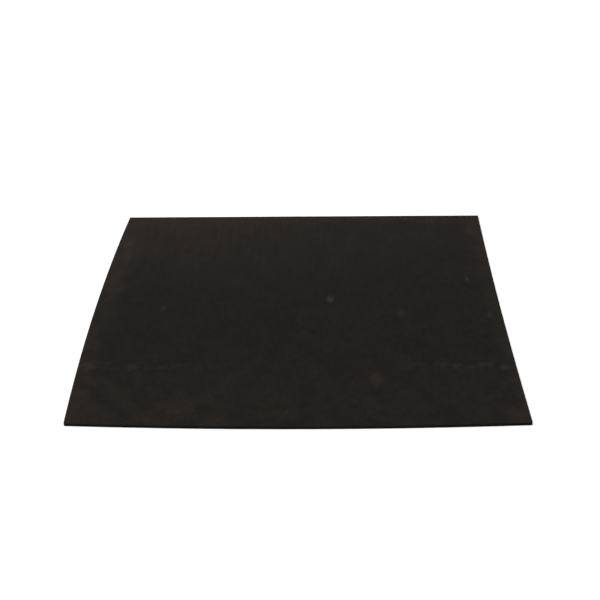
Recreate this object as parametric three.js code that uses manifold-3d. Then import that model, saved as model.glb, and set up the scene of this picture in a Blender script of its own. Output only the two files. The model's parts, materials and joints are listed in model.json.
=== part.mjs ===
// Seedling heat mat: a thin, flat, laminated rubber mat that seed trays stand on to be warmed.
//
// Two rubber covers hold the heater between them, and solid rubber strips fill the edge all round. Inside
// the strips lie, from the bottom up, a felt, a glass-fibre carrier with the heating wire laid to and fro
// on it, the tapes that hold the wire, and an earthed aluminium foil that spreads the heat. The ends of
// the wire, their crimped joints, the thermal fuse and the gland for a flat supply lead are in a bay at
// the middle of the back edge.
//
// Millimetres, +X to the right, +Y to the back, +Z up. The origin is on the underside, at the centre of
// the mat's bounding box.

import * as THREE from 'three';
import { mergeVertices } from 'three/addons/utils/BufferGeometryUtils.js';
import Module from 'manifold-3d';

const wasm = await Module();
wasm.setup();

// Driving dimensions: the sheet
const WIDTH = 527; // from corner to corner along X
const DEPTH = 508; // from corner to corner along Y
const THICKNESS = 3.8;
const BOW = { left: 7, right: -2.5, front: 6.5, back: 0 }; // how far each side swells out at its middle
const RIM = 14; // width of the solid edge at the corners
const COVER = 0.8; // thickness of each cover
const BOND = 0.02; // bond line between flat layers
const FIT = 0.3; // gap where two pieces meet end to end, or one passes through another

// Driving dimensions: the heater's layers
const LAYER_CLEARANCE = 1; // from the edge strips to the felt, carrier and foil
const FELT = 0.4;
const CARRIER = 0.14;
const FOIL = 0.1;
const TAPE = { thickness: 0.1, width: 18, overhang: 10 };
const HEADER_TAPE = { length: 120, width: 12 };

// Driving dimensions: the heating wire
const WIRE_RADIUS = 0.6; // over its insulation
const CONDUCTOR_RADIUS = 0.28;
const RUNS = 18; // an even number, so that both ends of the wire finish at the back
const WIRE_MARGIN = 14; // from the pocket's wall to the outermost run
const HEADER_SETBACK = 24; // from the pocket's back wall to the run along the back

// Driving dimensions: the joints in the bay
const BAY = { width: 122, depth: 40 };
const BLOCK = { inset: 1, floor: 0.23, channel: 2.4, splicePocket: 16, fusePocket: 6.2 };
const CRIMP = { inner: 0.4, outer: 0.6, length: 8 };
const SLEEVE = { inner: 0.68, outer: 0.85, length: 11 };
const STRIPPED = 0.5; // bare conductor between the insulation and the crimp
const NEUTRAL_CRIMP_X = -47;
const FUSE_X = 34;
const FUSE_CRIMP_REACH = 16; // from the fuse's middle to the middle of each of its crimps
const FUSE = { length: 10, width: 4.4, thickness: 1.2, corner: 0.3 };
const FUSE_SLEEVE = { length: 14, clearance: 0.12, wall: 0.18 };
const SUPPLY_PITCH = 4; // between the three supply crimps
const SUPPLY_CRIMP_Y = 10.5; // from the line of the wire's ends to the middle of the supply crimps
const LEAD_BEND = 4; // radius of the leads' turn towards the gland

// Driving dimensions: the foil's earth, measured from the line of the wire's ends
const EYELET = { y: -22, bore: 1.1, shank: 1.4, head: 2.4, foot: 2.2, headThickness: 0.1, footThickness: 0.12 };
const TERMINAL = { ring: 3.5, thickness: 0.35, tongue: 2.4, barrelFrom: -15, barrelTo: -9.5, barrelRadius: 0.75 };

// Driving dimensions: the gland
const GLAND = { neck: 26, flange: 34, flangeDepth: 5.7, slotWidth: 10.2, slotHeight: 1.3 };

// Facets
const BOW_SEGMENTS = 12; // along each bowed side
const QUARTER_SEGMENTS = 6; // in a quarter turn of a wire
const WIRE_HALF_SIDES = 5; // a full circle gets two facets for each
const ROUND_SIDES = 12;
const CORNER_SEGMENTS = 3;

// Places worked out from the dimensions: the pocket inside the edge strips, and the layers in it
const POCKET_X = WIDTH / 2 - RIM;
const POCKET_Y = DEPTH / 2 - RIM;
const CORE_Z = COVER + BOND;
const CORE_TOP = THICKNESS - COVER - BOND;
const CARRIER_Z = CORE_Z + FELT + BOND;
const WIRE_Z = CARRIER_Z + CARRIER + BOND + WIRE_RADIUS;
const TAPE_Z = WIRE_Z + WIRE_RADIUS + BOND;
const FOIL_Z = TAPE_Z + TAPE.thickness + BOND;

// Places worked out from the dimensions: the wire's runs
const OUTER_RUN_X = POCKET_X - WIRE_MARGIN;
const RUN_PITCH = (2 * OUTER_RUN_X) / (RUNS - 1);
const BEND_RADIUS = RUN_PITCH / 2;
const HEADER_Y = POCKET_Y - HEADER_SETBACK;
const FRONT_BEND_Y = -POCKET_Y + WIRE_MARGIN + BEND_RADIUS;
const BACK_BEND_Y = HEADER_Y - RUN_PITCH - BEND_RADIUS;

const FINISHES = {
  coverRubber: { color: 0x242220, roughness: 0.78, metalness: 0 },
  edgeRubber: { color: 0x1d1c1b, roughness: 0.82, metalness: 0 },
  blockRubber: { color: 0x3a3734, roughness: 0.8, metalness: 0 },
  felt: { color: 0xb9b3a4, roughness: 0.95, metalness: 0 },
  glassScrim: { color: 0xd9d6c8, roughness: 0.7, metalness: 0 },
  redSilicone: { color: 0xa53a22, roughness: 0.5, metalness: 0 },
  amberTape: { color: 0xc08a3a, roughness: 0.35, metalness: 0 },
  aluminium: { color: 0xc9cacc, roughness: 0.3, metalness: 1 },
  glandPlastic: { color: 0x181818, roughness: 0.6, metalness: 0 },
  tinnedBrass: { color: 0xb8ac88, roughness: 0.35, metalness: 1 },
  brownLead: { color: 0x5a3018, roughness: 0.45, metalness: 0 },
  blueLead: { color: 0x1c4f9c, roughness: 0.45, metalness: 0 },
  greenLead: { color: 0x2f7d32, roughness: 0.45, metalness: 0 },
  shrinkSleeve: { color: 0x20242a, roughness: 0.5, metalness: 0 },
  fuseCase: { color: 0xe6e0d0, roughness: 0.6, metalness: 0 },
  glassSleeve: { color: 0xece7d8, roughness: 0.85, metalness: 0 },
};

// A named piece of the mat.
function piece(name, geometry, finish) {
  const mesh = new THREE.Mesh(geometry, new THREE.MeshStandardMaterial(FINISHES[finish]));
  mesh.name = name;
  return mesh;
}

// The solid of a closed geometry, for joining and cutting, and the geometry of a solid.
function solid(geometry) {
  const bare = geometry.clone().deleteAttribute('normal').deleteAttribute('uv');
  const merged = mergeVertices(bare);
  const { position } = merged.attributes;
  return new wasm.Manifold(
    new wasm.Mesh({ numProp: 3, vertProperties: position.array, triVerts: new Uint32Array(merged.index.array) }),
  );
}

function geometryOf(shape) {
  const { vertProperties, triVerts } = shape.getMesh();
  const geometry = new THREE.BufferGeometry();
  geometry.setAttribute('position', new THREE.BufferAttribute(vertProperties, 3));
  geometry.setIndex(new THREE.BufferAttribute(triVerts, 1));
  return geometry;
}

// A flat plate: an outline in plan, its thickness and the height of its underside.
function plate(outline, thickness, z, curveSegments = BOW_SEGMENTS) {
  const plain = { depth: thickness, bevelEnabled: false, curveSegments };
  return new THREE.ExtrudeGeometry(outline, plain).translate(0, 0, z);
}

// A box between two corners.
function box(x0, x1, y0, y1, z0, z1) {
  const size = new THREE.BoxGeometry(x1 - x0, y1 - y0, z1 - z0);
  return size.translate((x0 + x1) / 2, (y0 + y1) / 2, (z0 + z1) / 2);
}

// A polygon outline through its corners.
function polygon(corners) {
  return new THREE.Shape(corners.map(([x, y]) => new THREE.Vector2(x, y)));
}

// A rectangle centred on the origin, with round corners.
function roundedRectangle(shape, width, height, radius) {
  const [x, y] = [width / 2, height / 2];
  shape.moveTo(-x + radius, -y);
  shape.lineTo(x - radius, -y);
  shape.absarc(x - radius, -y + radius, radius, -Math.PI / 2, 0);
  shape.absarc(x - radius, y - radius, radius, 0, Math.PI / 2);
  shape.absarc(-x + radius, y - radius, radius, Math.PI / 2, Math.PI);
  shape.absarc(-x + radius, -y + radius, radius, Math.PI, 1.5 * Math.PI);
  return shape;
}

// The mat's outline: four corners joined by sides that swell or draw in by their bow.
function matOutline() {
  const [x, y] = [WIDTH / 2, DEPTH / 2];
  const outline = new THREE.Shape();
  const side = (bow, controlX, controlY, endX, endY) =>
    bow === 0 ? outline.lineTo(endX, endY) : outline.quadraticCurveTo(controlX, controlY, endX, endY);
  outline.moveTo(-x, -y);
  side(BOW.front, 0, -y - 2 * BOW.front, x, -y);
  side(BOW.right, x + 2 * BOW.right, 0, x, y);
  side(BOW.back, 0, y + 2 * BOW.back, -x, y);
  side(BOW.left, -x - 2 * BOW.left, 0, -x, -y);
  return outline;
}

// The outline of the felt, the carrier and the foil: the pocket less a clearance, notched for the bay.
function layerOutline() {
  const [x, y] = [POCKET_X - LAYER_CLEARANCE, POCKET_Y - LAYER_CLEARANCE];
  const [bayX, bayY] = [BAY.width / 2, POCKET_Y - BAY.depth];
  return polygon([[-x, -y], [x, -y], [x, y], [bayX, y], [bayX, bayY], [-bayX, bayY], [-bayX, y], [-x, y]]);
}

// A route through a list of points, straight from each to the next, so that only bends need many.
class Route extends THREE.Curve {
  constructor(points) {
    super();
    this.points = points;
  }

  getPoint(t, target = new THREE.Vector3()) {
    const place = t * (this.points.length - 1);
    const index = Math.min(Math.floor(place), this.points.length - 2);
    return target.lerpVectors(this.points[index], this.points[index + 1], place - index);
  }

  getPointAt(u, target) {
    return this.getPoint(u, target);
  }

  getTangentAt(u, target) {
    return this.getTangent(u, target);
  }
}

// Points along an arc in plan, at the height of the wire.
function arc(centreX, centreY, radius, fromQuarter, toQuarter, z) {
  const steps = Math.abs(toQuarter - fromQuarter) * QUARTER_SEGMENTS;
  return Array.from({ length: steps + 1 }, (_, step) => {
    const angle = (fromQuarter + ((toQuarter - fromQuarter) * step) / steps) * (Math.PI / 2);
    return new THREE.Vector3(centreX + radius * Math.cos(angle), centreY + radius * Math.sin(angle), z);
  });
}

// A round insulated wire along a route, with a bare conductor standing out of each end that is listed.
function insulatedWire(points, bareEnds) {
  const section = new THREE.Shape().absarc(0, 0, WIRE_RADIUS, 0, 2 * Math.PI);
  const steps = points.length - 1;
  const along = { steps, extrudePath: new Route(points), curveSegments: WIRE_HALF_SIDES };
  let wire = solid(new THREE.ExtrudeGeometry(section, along));
  for (const { at, towards } of bareEnds) wire = wire.add(bareConductor(at, towards));
  return geometryOf(wire);
}

// A bare conductor from just inside an insulation's end to just short of a crimp's middle.
function bareConductor(at, towards) {
  const reach = STRIPPED + CRIMP.length / 2 - FIT;
  const length = reach + STRIPPED;
  const rod = new THREE.CylinderGeometry(CONDUCTOR_RADIUS, CONDUCTOR_RADIUS, length, ROUND_SIDES);
  rod.translate(0, length / 2 - STRIPPED, 0);
  rod.applyQuaternion(new THREE.Quaternion().setFromUnitVectors(new THREE.Vector3(0, 1, 0), towards));
  return solid(rod.translate(at.x, at.y, at.z));
}

// A tube with its axis along Y: a crimp, or a sleeve.
function tube({ inner, outer, length }) {
  const half = length / 2;
  const profile = [[inner, -half], [outer, -half], [outer, half], [inner, half], [inner, -half]];
  return new THREE.LatheGeometry(profile.map(([r, y]) => new THREE.Vector2(r, y)), ROUND_SIDES);
}

// ---- The covers and the edge ----

function covers() {
  return [
    piece('bottom_cover', plate(matOutline(), COVER, 0), 'coverRubber'),
    piece('top_cover', plate(matOutline(), COVER, THICKNESS - COVER), 'coverRubber'),
  ];
}

// The strips are cut from the mat's outline, mitred at its corners. The back one is in two lengths, with
// the gland between them.
function edgeStrips() {
  const whole = solid(plate(matOutline(), CORE_TOP - CORE_Z, CORE_Z));
  const [x, y, sideY] = [POCKET_X, POCKET_Y, POCKET_Y - FIT];
  const past = 2 * RIM; // how far a cutter reaches out of the pocket, along and across
  const glandX = GLAND.neck / 2 + FIT;
  const cutters = {
    edge_strip_front: [[x, -y], [-x, -y], [-x - past, -y - past], [x + past, -y - past]],
    edge_strip_left: [[-x, -sideY], [-x, sideY], [-x - past, sideY + past], [-x - past, -sideY - past]],
    edge_strip_right: [[x, sideY], [x, -sideY], [x + past, -sideY - past], [x + past, sideY + past]],
    edge_strip_back_left: [[-x, y], [-glandX, y], [-glandX, y + past], [-x - past, y + past]],
    edge_strip_back_right: [[glandX, y], [x, y], [x + past, y + past], [glandX, y + past]],
  };
  return Object.entries(cutters).map(([name, corners]) =>
    piece(name, geometryOf(whole.intersect(solid(plate(polygon(corners), THICKNESS, 0)))), 'edgeRubber'),
  );
}

// A flat bush that fills the edge between the back strips, held in by a wider flange inside them.
function gland() {
  const [neck, flange] = [GLAND.neck / 2, GLAND.flange / 2];
  const [outside, shoulder] = [DEPTH / 2, POCKET_Y - FIT];
  const inside = shoulder - GLAND.flangeDepth;
  const outline = polygon([
    [-flange, inside], [flange, inside], [flange, shoulder], [neck, shoulder],
    [neck, outside], [-neck, outside], [-neck, shoulder], [-flange, shoulder],
  ]);
  const slot = roundedRectangle(new THREE.Shape(), GLAND.slotWidth, GLAND.slotHeight, GLAND.slotHeight / 2);
  const slotTool = plate(slot, 3 * RIM, 0, CORNER_SEGMENTS).rotateX(Math.PI / 2);
  slotTool.translate(0, outside + RIM, (CORE_Z + CORE_TOP) / 2);
  const body = solid(plate(outline, CORE_TOP - CORE_Z, CORE_Z)).subtract(solid(slotTool));
  return piece('lead_gland', geometryOf(body), 'glandPlastic');
}

// ---- The heater's layers ----

function layers() {
  const foil = layerOutline();
  foil.holes.push(new THREE.Path().absarc(0, HEADER_Y + EYELET.y, EYELET.shank + FIT, 0, 2 * Math.PI));
  return [
    piece('insulation_felt', plate(layerOutline(), FELT, CORE_Z), 'felt'),
    piece('wire_carrier', plate(layerOutline(), CARRIER, CARRIER_Z), 'glassScrim'),
    piece('heat_spreader_foil', plate(foil, FOIL, FOIL_Z), 'aluminium'),
  ];
}

// The wire comes in along the back to the left corner, runs to and fro across the mat, and goes back
// along the back from the right corner.
function heatingWire() {
  const reach = CRIMP.length / 2 + STRIPPED;
  const neutralEnd = new THREE.Vector3(NEUTRAL_CRIMP_X - reach, HEADER_Y, WIRE_Z);
  const liveEnd = new THREE.Vector3(FUSE_X + FUSE_CRIMP_REACH + reach, HEADER_Y, WIRE_Z);
  const cornerX = OUTER_RUN_X - BEND_RADIUS;
  const cornerY = HEADER_Y - BEND_RADIUS;
  const points = [neutralEnd, ...arc(-cornerX, cornerY, BEND_RADIUS, 1, 2, WIRE_Z)];
  for (let bend = 0; bend < RUNS - 1; bend += 1) {
    const x = -OUTER_RUN_X + (bend + 0.5) * RUN_PITCH;
    const atFront = bend % 2 === 0;
    points.push(...arc(x, atFront ? FRONT_BEND_Y : BACK_BEND_Y, BEND_RADIUS, 2, atFront ? 4 : 0, WIRE_Z));
  }
  points.push(...arc(cornerX, cornerY, BEND_RADIUS, 0, 1, WIRE_Z), liveEnd);
  const right = new THREE.Vector3(1, 0, 0);
  const bareEnds = [
    { at: neutralEnd, towards: right },
    { at: liveEnd, towards: right.clone().negate() },
  ];
  return piece('heating_wire', insulatedWire(points, bareEnds), 'redSilicone');
}

function wireTapes() {
  const reach = OUTER_RUN_X + TAPE.overhang;
  const headerX = (BAY.width / 2 + OUTER_RUN_X) / 2;
  const tapes = [
    ['wire_tape_front', 0, FRONT_BEND_Y, 2 * reach, TAPE.width],
    ['wire_tape_middle', 0, (FRONT_BEND_Y + BACK_BEND_Y) / 2, 2 * reach, TAPE.width],
    ['wire_tape_back', 0, BACK_BEND_Y, 2 * reach, TAPE.width],
    ['wire_tape_header_left', -headerX, HEADER_Y, HEADER_TAPE.length, HEADER_TAPE.width],
    ['wire_tape_header_right', headerX, HEADER_Y, HEADER_TAPE.length, HEADER_TAPE.width],
  ];
  return tapes.map(([name, x, y, length, width]) => {
    const tape = piece(name, new THREE.BoxGeometry(length, width, TAPE.thickness), 'amberTape');
    tape.position.set(x, y, TAPE_Z + TAPE.thickness / 2);
    return tape;
  });
}

// ---- The joints in the bay. Their group's origin is on the line of the wire's ends, at its axis ----

// A crimp and the sleeve shrunk over it, along the line of the wire's ends or, turned, towards the gland.
function sleevedCrimp(name, x, y, alongLine) {
  const crimp = piece(name, tube(CRIMP), 'tinnedBrass');
  const sleeve = piece(`${name}_sleeve`, tube(SLEEVE), 'shrinkSleeve');
  for (const mesh of [crimp, sleeve]) {
    mesh.position.set(x, y, 0);
    mesh.rotation.z = alongLine ? Math.PI / 2 : 0;
  }
  return [crimp, sleeve];
}

// A cold lead from a crimp on the line to a supply crimp, turning once towards the gland.
function coldLead(name, crimpX, supplyX, finish) {
  const side = Math.sign(crimpX);
  const reach = CRIMP.length / 2 + STRIPPED;
  const start = new THREE.Vector3(crimpX - side * reach, 0, 0);
  const end = new THREE.Vector3(supplyX, SUPPLY_CRIMP_Y - reach, 0);
  const turnX = supplyX + side * LEAD_BEND;
  const turn = side > 0 ? arc(turnX, LEAD_BEND, LEAD_BEND, 3, 2, 0) : arc(turnX, LEAD_BEND, LEAD_BEND, 3, 4, 0);
  const bareEnds = [
    { at: start, towards: new THREE.Vector3(side, 0, 0) },
    { at: end, towards: new THREE.Vector3(0, 1, 0) },
  ];
  return piece(name, insulatedWire([start, ...turn, end], bareEnds), finish);
}

function thermalFuse() {
  const across = roundedRectangle(new THREE.Shape(), FUSE.thickness, FUSE.width, FUSE.corner);
  const body = plate(across, FUSE.length, -FUSE.length / 2, CORNER_SEGMENTS).rotateY(Math.PI / 2);
  const legs = 2 * (FUSE_CRIMP_REACH - FIT);
  const leg = new THREE.CylinderGeometry(CONDUCTOR_RADIUS, CONDUCTOR_RADIUS, legs, ROUND_SIDES);
  const fuse = piece('thermal_fuse', geometryOf(solid(body).add(solid(leg.rotateZ(Math.PI / 2)))), 'fuseCase');

  const { clearance, wall, length } = FUSE_SLEEVE;
  const bore = [FUSE.thickness + 2 * clearance, FUSE.width + 2 * clearance];
  const wallOutline = roundedRectangle(new THREE.Shape(), bore[0] + 2 * wall, bore[1] + 2 * wall, FUSE.corner);
  wallOutline.holes.push(roundedRectangle(new THREE.Path(), ...bore, FUSE.corner - wall / 2));
  const sleeve = plate(wallOutline, length, -length / 2, CORNER_SEGMENTS).rotateY(Math.PI / 2);
  const pieces = [fuse, piece('thermal_fuse_sleeve', sleeve, 'glassSleeve')];
  for (const mesh of pieces) mesh.position.x = FUSE_X;
  return pieces;
}

// The foil's earth: a ring terminal under the foil, the eyelet that clamps the two, and the lead.
function foilEarth() {
  const ringTop = FOIL_Z - WIRE_Z - 2 * BOND;
  const ringBottom = ringTop - TERMINAL.thickness;
  const { tongue, barrelFrom, barrelTo, barrelRadius } = TERMINAL;
  const ring = new THREE.Shape().absarc(0, EYELET.y, TERMINAL.ring, 0, 2 * Math.PI);
  const tonguePlate = box(-tongue / 2, tongue / 2, EYELET.y, barrelFrom + 1, ringBottom, ringTop);
  const barrelLength = barrelTo - barrelFrom;
  const rod = (radius, length) =>
    new THREE.CylinderGeometry(radius, radius, length, ROUND_SIDES).translate(0, (barrelFrom + barrelTo) / 2, 0);
  const eyeletHole = new THREE.CylinderGeometry(EYELET.shank + FIT, EYELET.shank + FIT, RIM, ROUND_SIDES);
  const terminal = solid(plate(ring, TERMINAL.thickness, ringBottom))
    .add(solid(tonguePlate))
    .add(solid(rod(barrelRadius, barrelLength)))
    .subtract(solid(rod(CRIMP.inner, barrelLength + RIM)))
    .subtract(solid(eyeletHole.rotateX(Math.PI / 2).translate(0, EYELET.y, 0)));

  const footBottom = ringBottom - 2 * BOND - EYELET.footThickness;
  const headBottom = FOIL_Z + FOIL + BOND - WIRE_Z;
  const headTop = headBottom + EYELET.headThickness;
  const profile = [
    [EYELET.bore, footBottom], [EYELET.foot, footBottom], [EYELET.foot, footBottom + EYELET.footThickness],
    [EYELET.shank, footBottom + EYELET.footThickness], [EYELET.shank, headBottom], [EYELET.head, headBottom],
    [EYELET.head, headTop], [EYELET.bore, headTop], [EYELET.bore, footBottom],
  ];
  const spool = new THREE.LatheGeometry(profile.map(([r, z]) => new THREE.Vector2(r, z)), ROUND_SIDES);
  const eyelet = piece('earth_eyelet', spool.rotateX(Math.PI / 2), 'tinnedBrass');
  eyelet.position.y = EYELET.y;

  const ends = [
    new THREE.Vector3(0, barrelTo + STRIPPED, 0),
    new THREE.Vector3(0, SUPPLY_CRIMP_Y - CRIMP.length / 2 - STRIPPED, 0),
  ];
  const up = new THREE.Vector3(0, 1, 0);
  const bareEnds = [
    { at: ends[0], towards: up.clone().negate() },
    { at: ends[1], towards: up },
  ];
  return [
    piece('earth_terminal', geometryOf(terminal), 'tinnedBrass'),
    eyelet,
    piece('earth_lead', insulatedWire(ends, bareEnds), 'greenLead'),
  ];
}

// A soft block that fills the bay, with a channel along the line, a pocket for the fuse and one for the
// supply crimps, all open at the top.
function jointBlock() {
  const x = BAY.width / 2 - BLOCK.inset;
  const front = POCKET_Y - BAY.depth + BLOCK.inset - HEADER_Y;
  const back = POCKET_Y - 2 * FIT - GLAND.flangeDepth - HEADER_Y;
  const bottom = CORE_Z - WIRE_Z;
  const top = CORE_TOP - WIRE_Z;
  const floor = bottom + BLOCK.floor;
  const [channel, pocket, fuseY] = [BLOCK.channel / 2, BLOCK.splicePocket / 2, BLOCK.fusePocket / 2];
  const fuseX = FUSE_SLEEVE.length / 2 + BLOCK.inset;
  const above = top + BLOCK.inset;
  const block = solid(box(-x, x, front, back, bottom, top))
    .subtract(solid(box(-x - RIM, x + RIM, -channel, channel, floor, above)))
    .subtract(solid(box(-pocket, pocket, front - RIM, back + RIM, floor, above)))
    .subtract(solid(box(FUSE_X - fuseX, FUSE_X + fuseX, -fuseY, fuseY, floor, above)));
  return piece('joint_block', geometryOf(block), 'blockRubber');
}

function bayJoints() {
  const bay = new THREE.Group();
  bay.position.set(0, HEADER_Y, WIRE_Z);
  bay.add(
    jointBlock(),
    ...thermalFuse(),
    ...sleevedCrimp('neutral_crimp', NEUTRAL_CRIMP_X, 0, true),
    ...sleevedCrimp('fuse_crimp_element', FUSE_X + FUSE_CRIMP_REACH, 0, true),
    ...sleevedCrimp('fuse_crimp_lead', FUSE_X - FUSE_CRIMP_REACH, 0, true),
    coldLead('neutral_lead', NEUTRAL_CRIMP_X, -SUPPLY_PITCH, 'blueLead'),
    coldLead('live_lead', FUSE_X - FUSE_CRIMP_REACH, SUPPLY_PITCH, 'brownLead'),
    ...sleevedCrimp('supply_crimp_neutral', -SUPPLY_PITCH, SUPPLY_CRIMP_Y, false),
    ...sleevedCrimp('supply_crimp_earth', 0, SUPPLY_CRIMP_Y, false),
    ...sleevedCrimp('supply_crimp_live', SUPPLY_PITCH, SUPPLY_CRIMP_Y, false),
    ...foilEarth(),
  );
  return bay;
}

// The corners are square about the middle, so the swelling sides put the bounding box off centre. The
// whole mat moves by half of what the two sides of each pair swell by.
const mat = new THREE.Group();
const swell = (bow) => Math.max(bow, 0);
mat.position.set((swell(BOW.left) - swell(BOW.right)) / 2, (swell(BOW.front) - swell(BOW.back)) / 2, 0);
mat.add(...covers(), ...edgeStrips(), gland(), ...layers(), heatingWire(), ...wireTapes(), bayJoints());

export default mat;
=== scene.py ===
"""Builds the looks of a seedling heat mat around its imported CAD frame.

Metres, +X to the right, +Y to the back, +Z up. The mat lies on the floor at z = 0 and rides on one body.
"""

import json
import math

import bmesh
import bpy
from bpy.props import FloatProperty, FloatVectorProperty, IntProperty, PointerProperty
from bpy.types import NodeSocket, Operator, Panel, PropertyGroup
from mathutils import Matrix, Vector, kdtree, noise

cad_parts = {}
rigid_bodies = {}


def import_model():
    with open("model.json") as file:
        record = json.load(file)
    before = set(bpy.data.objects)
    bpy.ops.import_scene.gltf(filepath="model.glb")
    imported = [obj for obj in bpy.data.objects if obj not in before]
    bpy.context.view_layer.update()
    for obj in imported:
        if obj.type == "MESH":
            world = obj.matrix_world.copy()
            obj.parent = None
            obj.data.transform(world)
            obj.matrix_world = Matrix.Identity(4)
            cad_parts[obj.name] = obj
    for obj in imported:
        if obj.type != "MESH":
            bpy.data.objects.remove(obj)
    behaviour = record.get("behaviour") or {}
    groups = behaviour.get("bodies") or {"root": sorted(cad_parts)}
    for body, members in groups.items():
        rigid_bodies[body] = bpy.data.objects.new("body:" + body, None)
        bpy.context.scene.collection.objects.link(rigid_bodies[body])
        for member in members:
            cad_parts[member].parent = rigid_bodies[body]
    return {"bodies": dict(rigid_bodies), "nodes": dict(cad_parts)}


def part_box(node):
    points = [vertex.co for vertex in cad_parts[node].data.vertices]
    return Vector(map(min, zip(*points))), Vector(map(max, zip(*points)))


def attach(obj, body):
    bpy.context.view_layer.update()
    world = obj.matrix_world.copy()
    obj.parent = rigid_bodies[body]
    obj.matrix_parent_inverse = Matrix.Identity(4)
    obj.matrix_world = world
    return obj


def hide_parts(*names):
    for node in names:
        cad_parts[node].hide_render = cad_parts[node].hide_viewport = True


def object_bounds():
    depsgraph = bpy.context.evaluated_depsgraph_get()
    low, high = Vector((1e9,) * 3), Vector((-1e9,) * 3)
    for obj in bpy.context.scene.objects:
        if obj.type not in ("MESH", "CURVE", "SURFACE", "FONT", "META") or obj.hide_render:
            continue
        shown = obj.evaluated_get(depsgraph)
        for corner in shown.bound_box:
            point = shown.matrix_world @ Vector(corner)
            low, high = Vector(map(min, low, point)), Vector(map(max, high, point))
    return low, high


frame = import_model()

bl_info = {
    "name": "Seedling Heat Mat",
    "version": (1, 0, 0),
    "blender": (4, 5, 0),
    "location": "View3D > Sidebar > Heat Mat",
    "description": "Makes a laminated rubber heat mat for seed trays, with its heater inside",
    "category": "Add Mesh",
}

CAD_LOW, CAD_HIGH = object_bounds()
BODY = next(iter(frame["bodies"]))
MM = 0.001

# Heights of the covers and of the core between them, from the frame
BOTTOM_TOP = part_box("bottom_cover")[1].z
TOP_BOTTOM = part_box("top_cover")[0].z
TOP_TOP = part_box("top_cover")[1].z
POCKET_LOW = Vector((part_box("edge_strip_left")[1].x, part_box("edge_strip_front")[1].y, BOTTOM_TOP))
POCKET_HIGH = Vector((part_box("edge_strip_right")[0].x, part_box("edge_strip_back_left")[0].y, TOP_BOTTOM))


# ---------------------------------------------------------------------------------------------------
# Settings


def length_property(name, description, default, **limits):
    return FloatProperty(name=name, description=description, default=default, unit="LENGTH", **limits)


def amount_property(name, description, default):
    return FloatProperty(name=name, description=description, default=default, min=0.0)


def colour_property(name, description, default):
    return FloatVectorProperty(
        name=name, description=description, default=default, subtype="COLOR", size=3, min=0.0, max=1.0,
    )


class SheetSettings(PropertyGroup):
    """Shape of the rubber sheet that the mat is cut from."""

    bow_left: length_property("Left bow", "How far the left side swells out at its middle", 7 * MM)
    bow_right: length_property(
        "Right bow", "How far the right side swells out, below zero where it draws in", -2.5 * MM,
    )
    bow_front: length_property("Front bow", "How far the front side swells out at its middle", 6.5 * MM)
    bow_back: length_property("Back bow", "How far the back side swells out at its middle", 0.0)
    corner_radius: length_property("Corner radius", "Rounding of the corners in plan", 1.3 * MM, min=0.0)
    top_edge_radius: length_property("Top edge radius", "Rounding along the top's rim", 0.35 * MM, min=0.0)
    seam_chamfer: length_property(
        "Seam chamfer", "Small chamfer where a cover meets the edge strips", 0.06 * MM, min=0.0,
    )
    grid_step: length_property("Grid step", "Spacing of the sheet's mesh inside its rim", 5 * MM, min=2 * MM)
    edge_lift: length_property(
        "Edge lift", "How far the edge stands off the bench at the most", 0.25 * MM, min=0.0,
    )
    unevenness: length_property(
        "Unevenness", "How far the top face swells up over its inside at the most", 0.12 * MM, min=0.0,
    )


class RubberSettings(PropertyGroup):
    """Colours and surface of the black rubber."""

    cover_colour: colour_property("Cover", "Colour of the clean cover", (0.0043, 0.0038, 0.0032))
    # The cut edge's colour is the cover rubber darkened as painted shade on the edge's face.
    shaded_cut_colour: colour_property("Cut edge", "Colour of the cut edge", (0.0032, 0.0026, 0.0021))
    # The dust's colour also lays on the painted sheen along the top face's back edge.
    dust_and_sheen_colour: colour_property("Dust", "Colour of the dust on the rubber", (0.12, 0.089, 0.068))
    gland_colour: colour_property("Gland", "Colour of the lead's gland", (0.0042, 0.0039, 0.0036))
    grain_size: length_property("Grain size", "Spacing of the rubber's fine grain", 0.45 * MM, min=0.05 * MM)


class HeaterSettings(PropertyGroup):
    """The layers, the wire and the joints inside the mat."""

    runs: IntProperty(
        name="Runs", description="How many times the heating wire crosses the mat, an even number",
        default=18, min=4, step=2,
    )
    tape_reach: length_property(
        "Tape reach", "How far from the wire a tape comes down onto the carrier", 3.2 * MM, min=1 * MM,
    )
    foil_crinkle: length_property(
        "Foil crinkle", "How far the foil's creases stand up", 0.09 * MM, min=0.0,
    )
    felt_colour: colour_property("Felt", "Colour of the felt under the heater", (0.485, 0.451, 0.371))
    scrim_colour: colour_property("Scrim", "Colour of the woven glass carrier", (0.69, 0.67, 0.58))
    wire_colour: colour_property("Wire", "Colour of the heating wire's silicone", (0.376, 0.042, 0.016))
    tape_colour: colour_property("Tape", "Colour of the tapes that hold the wire", (0.527, 0.222, 0.03))
    foil_colour: colour_property("Foil", "Colour of the aluminium foil", (0.6, 0.606, 0.62))
    brass_colour: colour_property("Tinned brass", "Colour of the crimps and the terminal", (0.5, 0.45, 0.34))
    copper_colour: colour_property("Conductor", "Colour of the bare tinned conductors", (0.56, 0.52, 0.47))
    live_colour: colour_property("Live", "Colour of the live lead", (0.102, 0.03, 0.009))
    neutral_colour: colour_property("Neutral", "Colour of the neutral lead", (0.0116, 0.078, 0.332))
    earth_colour: colour_property("Earth", "Colour of the earth lead", (0.028, 0.205, 0.032))
    stripe_colour: colour_property("Earth stripe", "Colour of the earth lead's stripe", (0.72, 0.52, 0.03))
    shrink_colour: colour_property(
        "Shrink sleeve", "Colour of the crimps' sleeves", (0.0144, 0.0176, 0.0232),
    )
    block_colour: colour_property(
        "Joint block", "Colour of the soft block in the bay", (0.042, 0.038, 0.034),
    )
    fuse_colour: colour_property("Fuse", "Colour of the thermal fuse's case", (0.79, 0.745, 0.63))
    resin_colour: colour_property("Fuse resin", "Colour of the resin in its ends", (0.33, 0.24, 0.14))
    braid_colour: colour_property("Glass braid", "Colour of the fuse's braided sleeve", (0.84, 0.8, 0.69))


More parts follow.
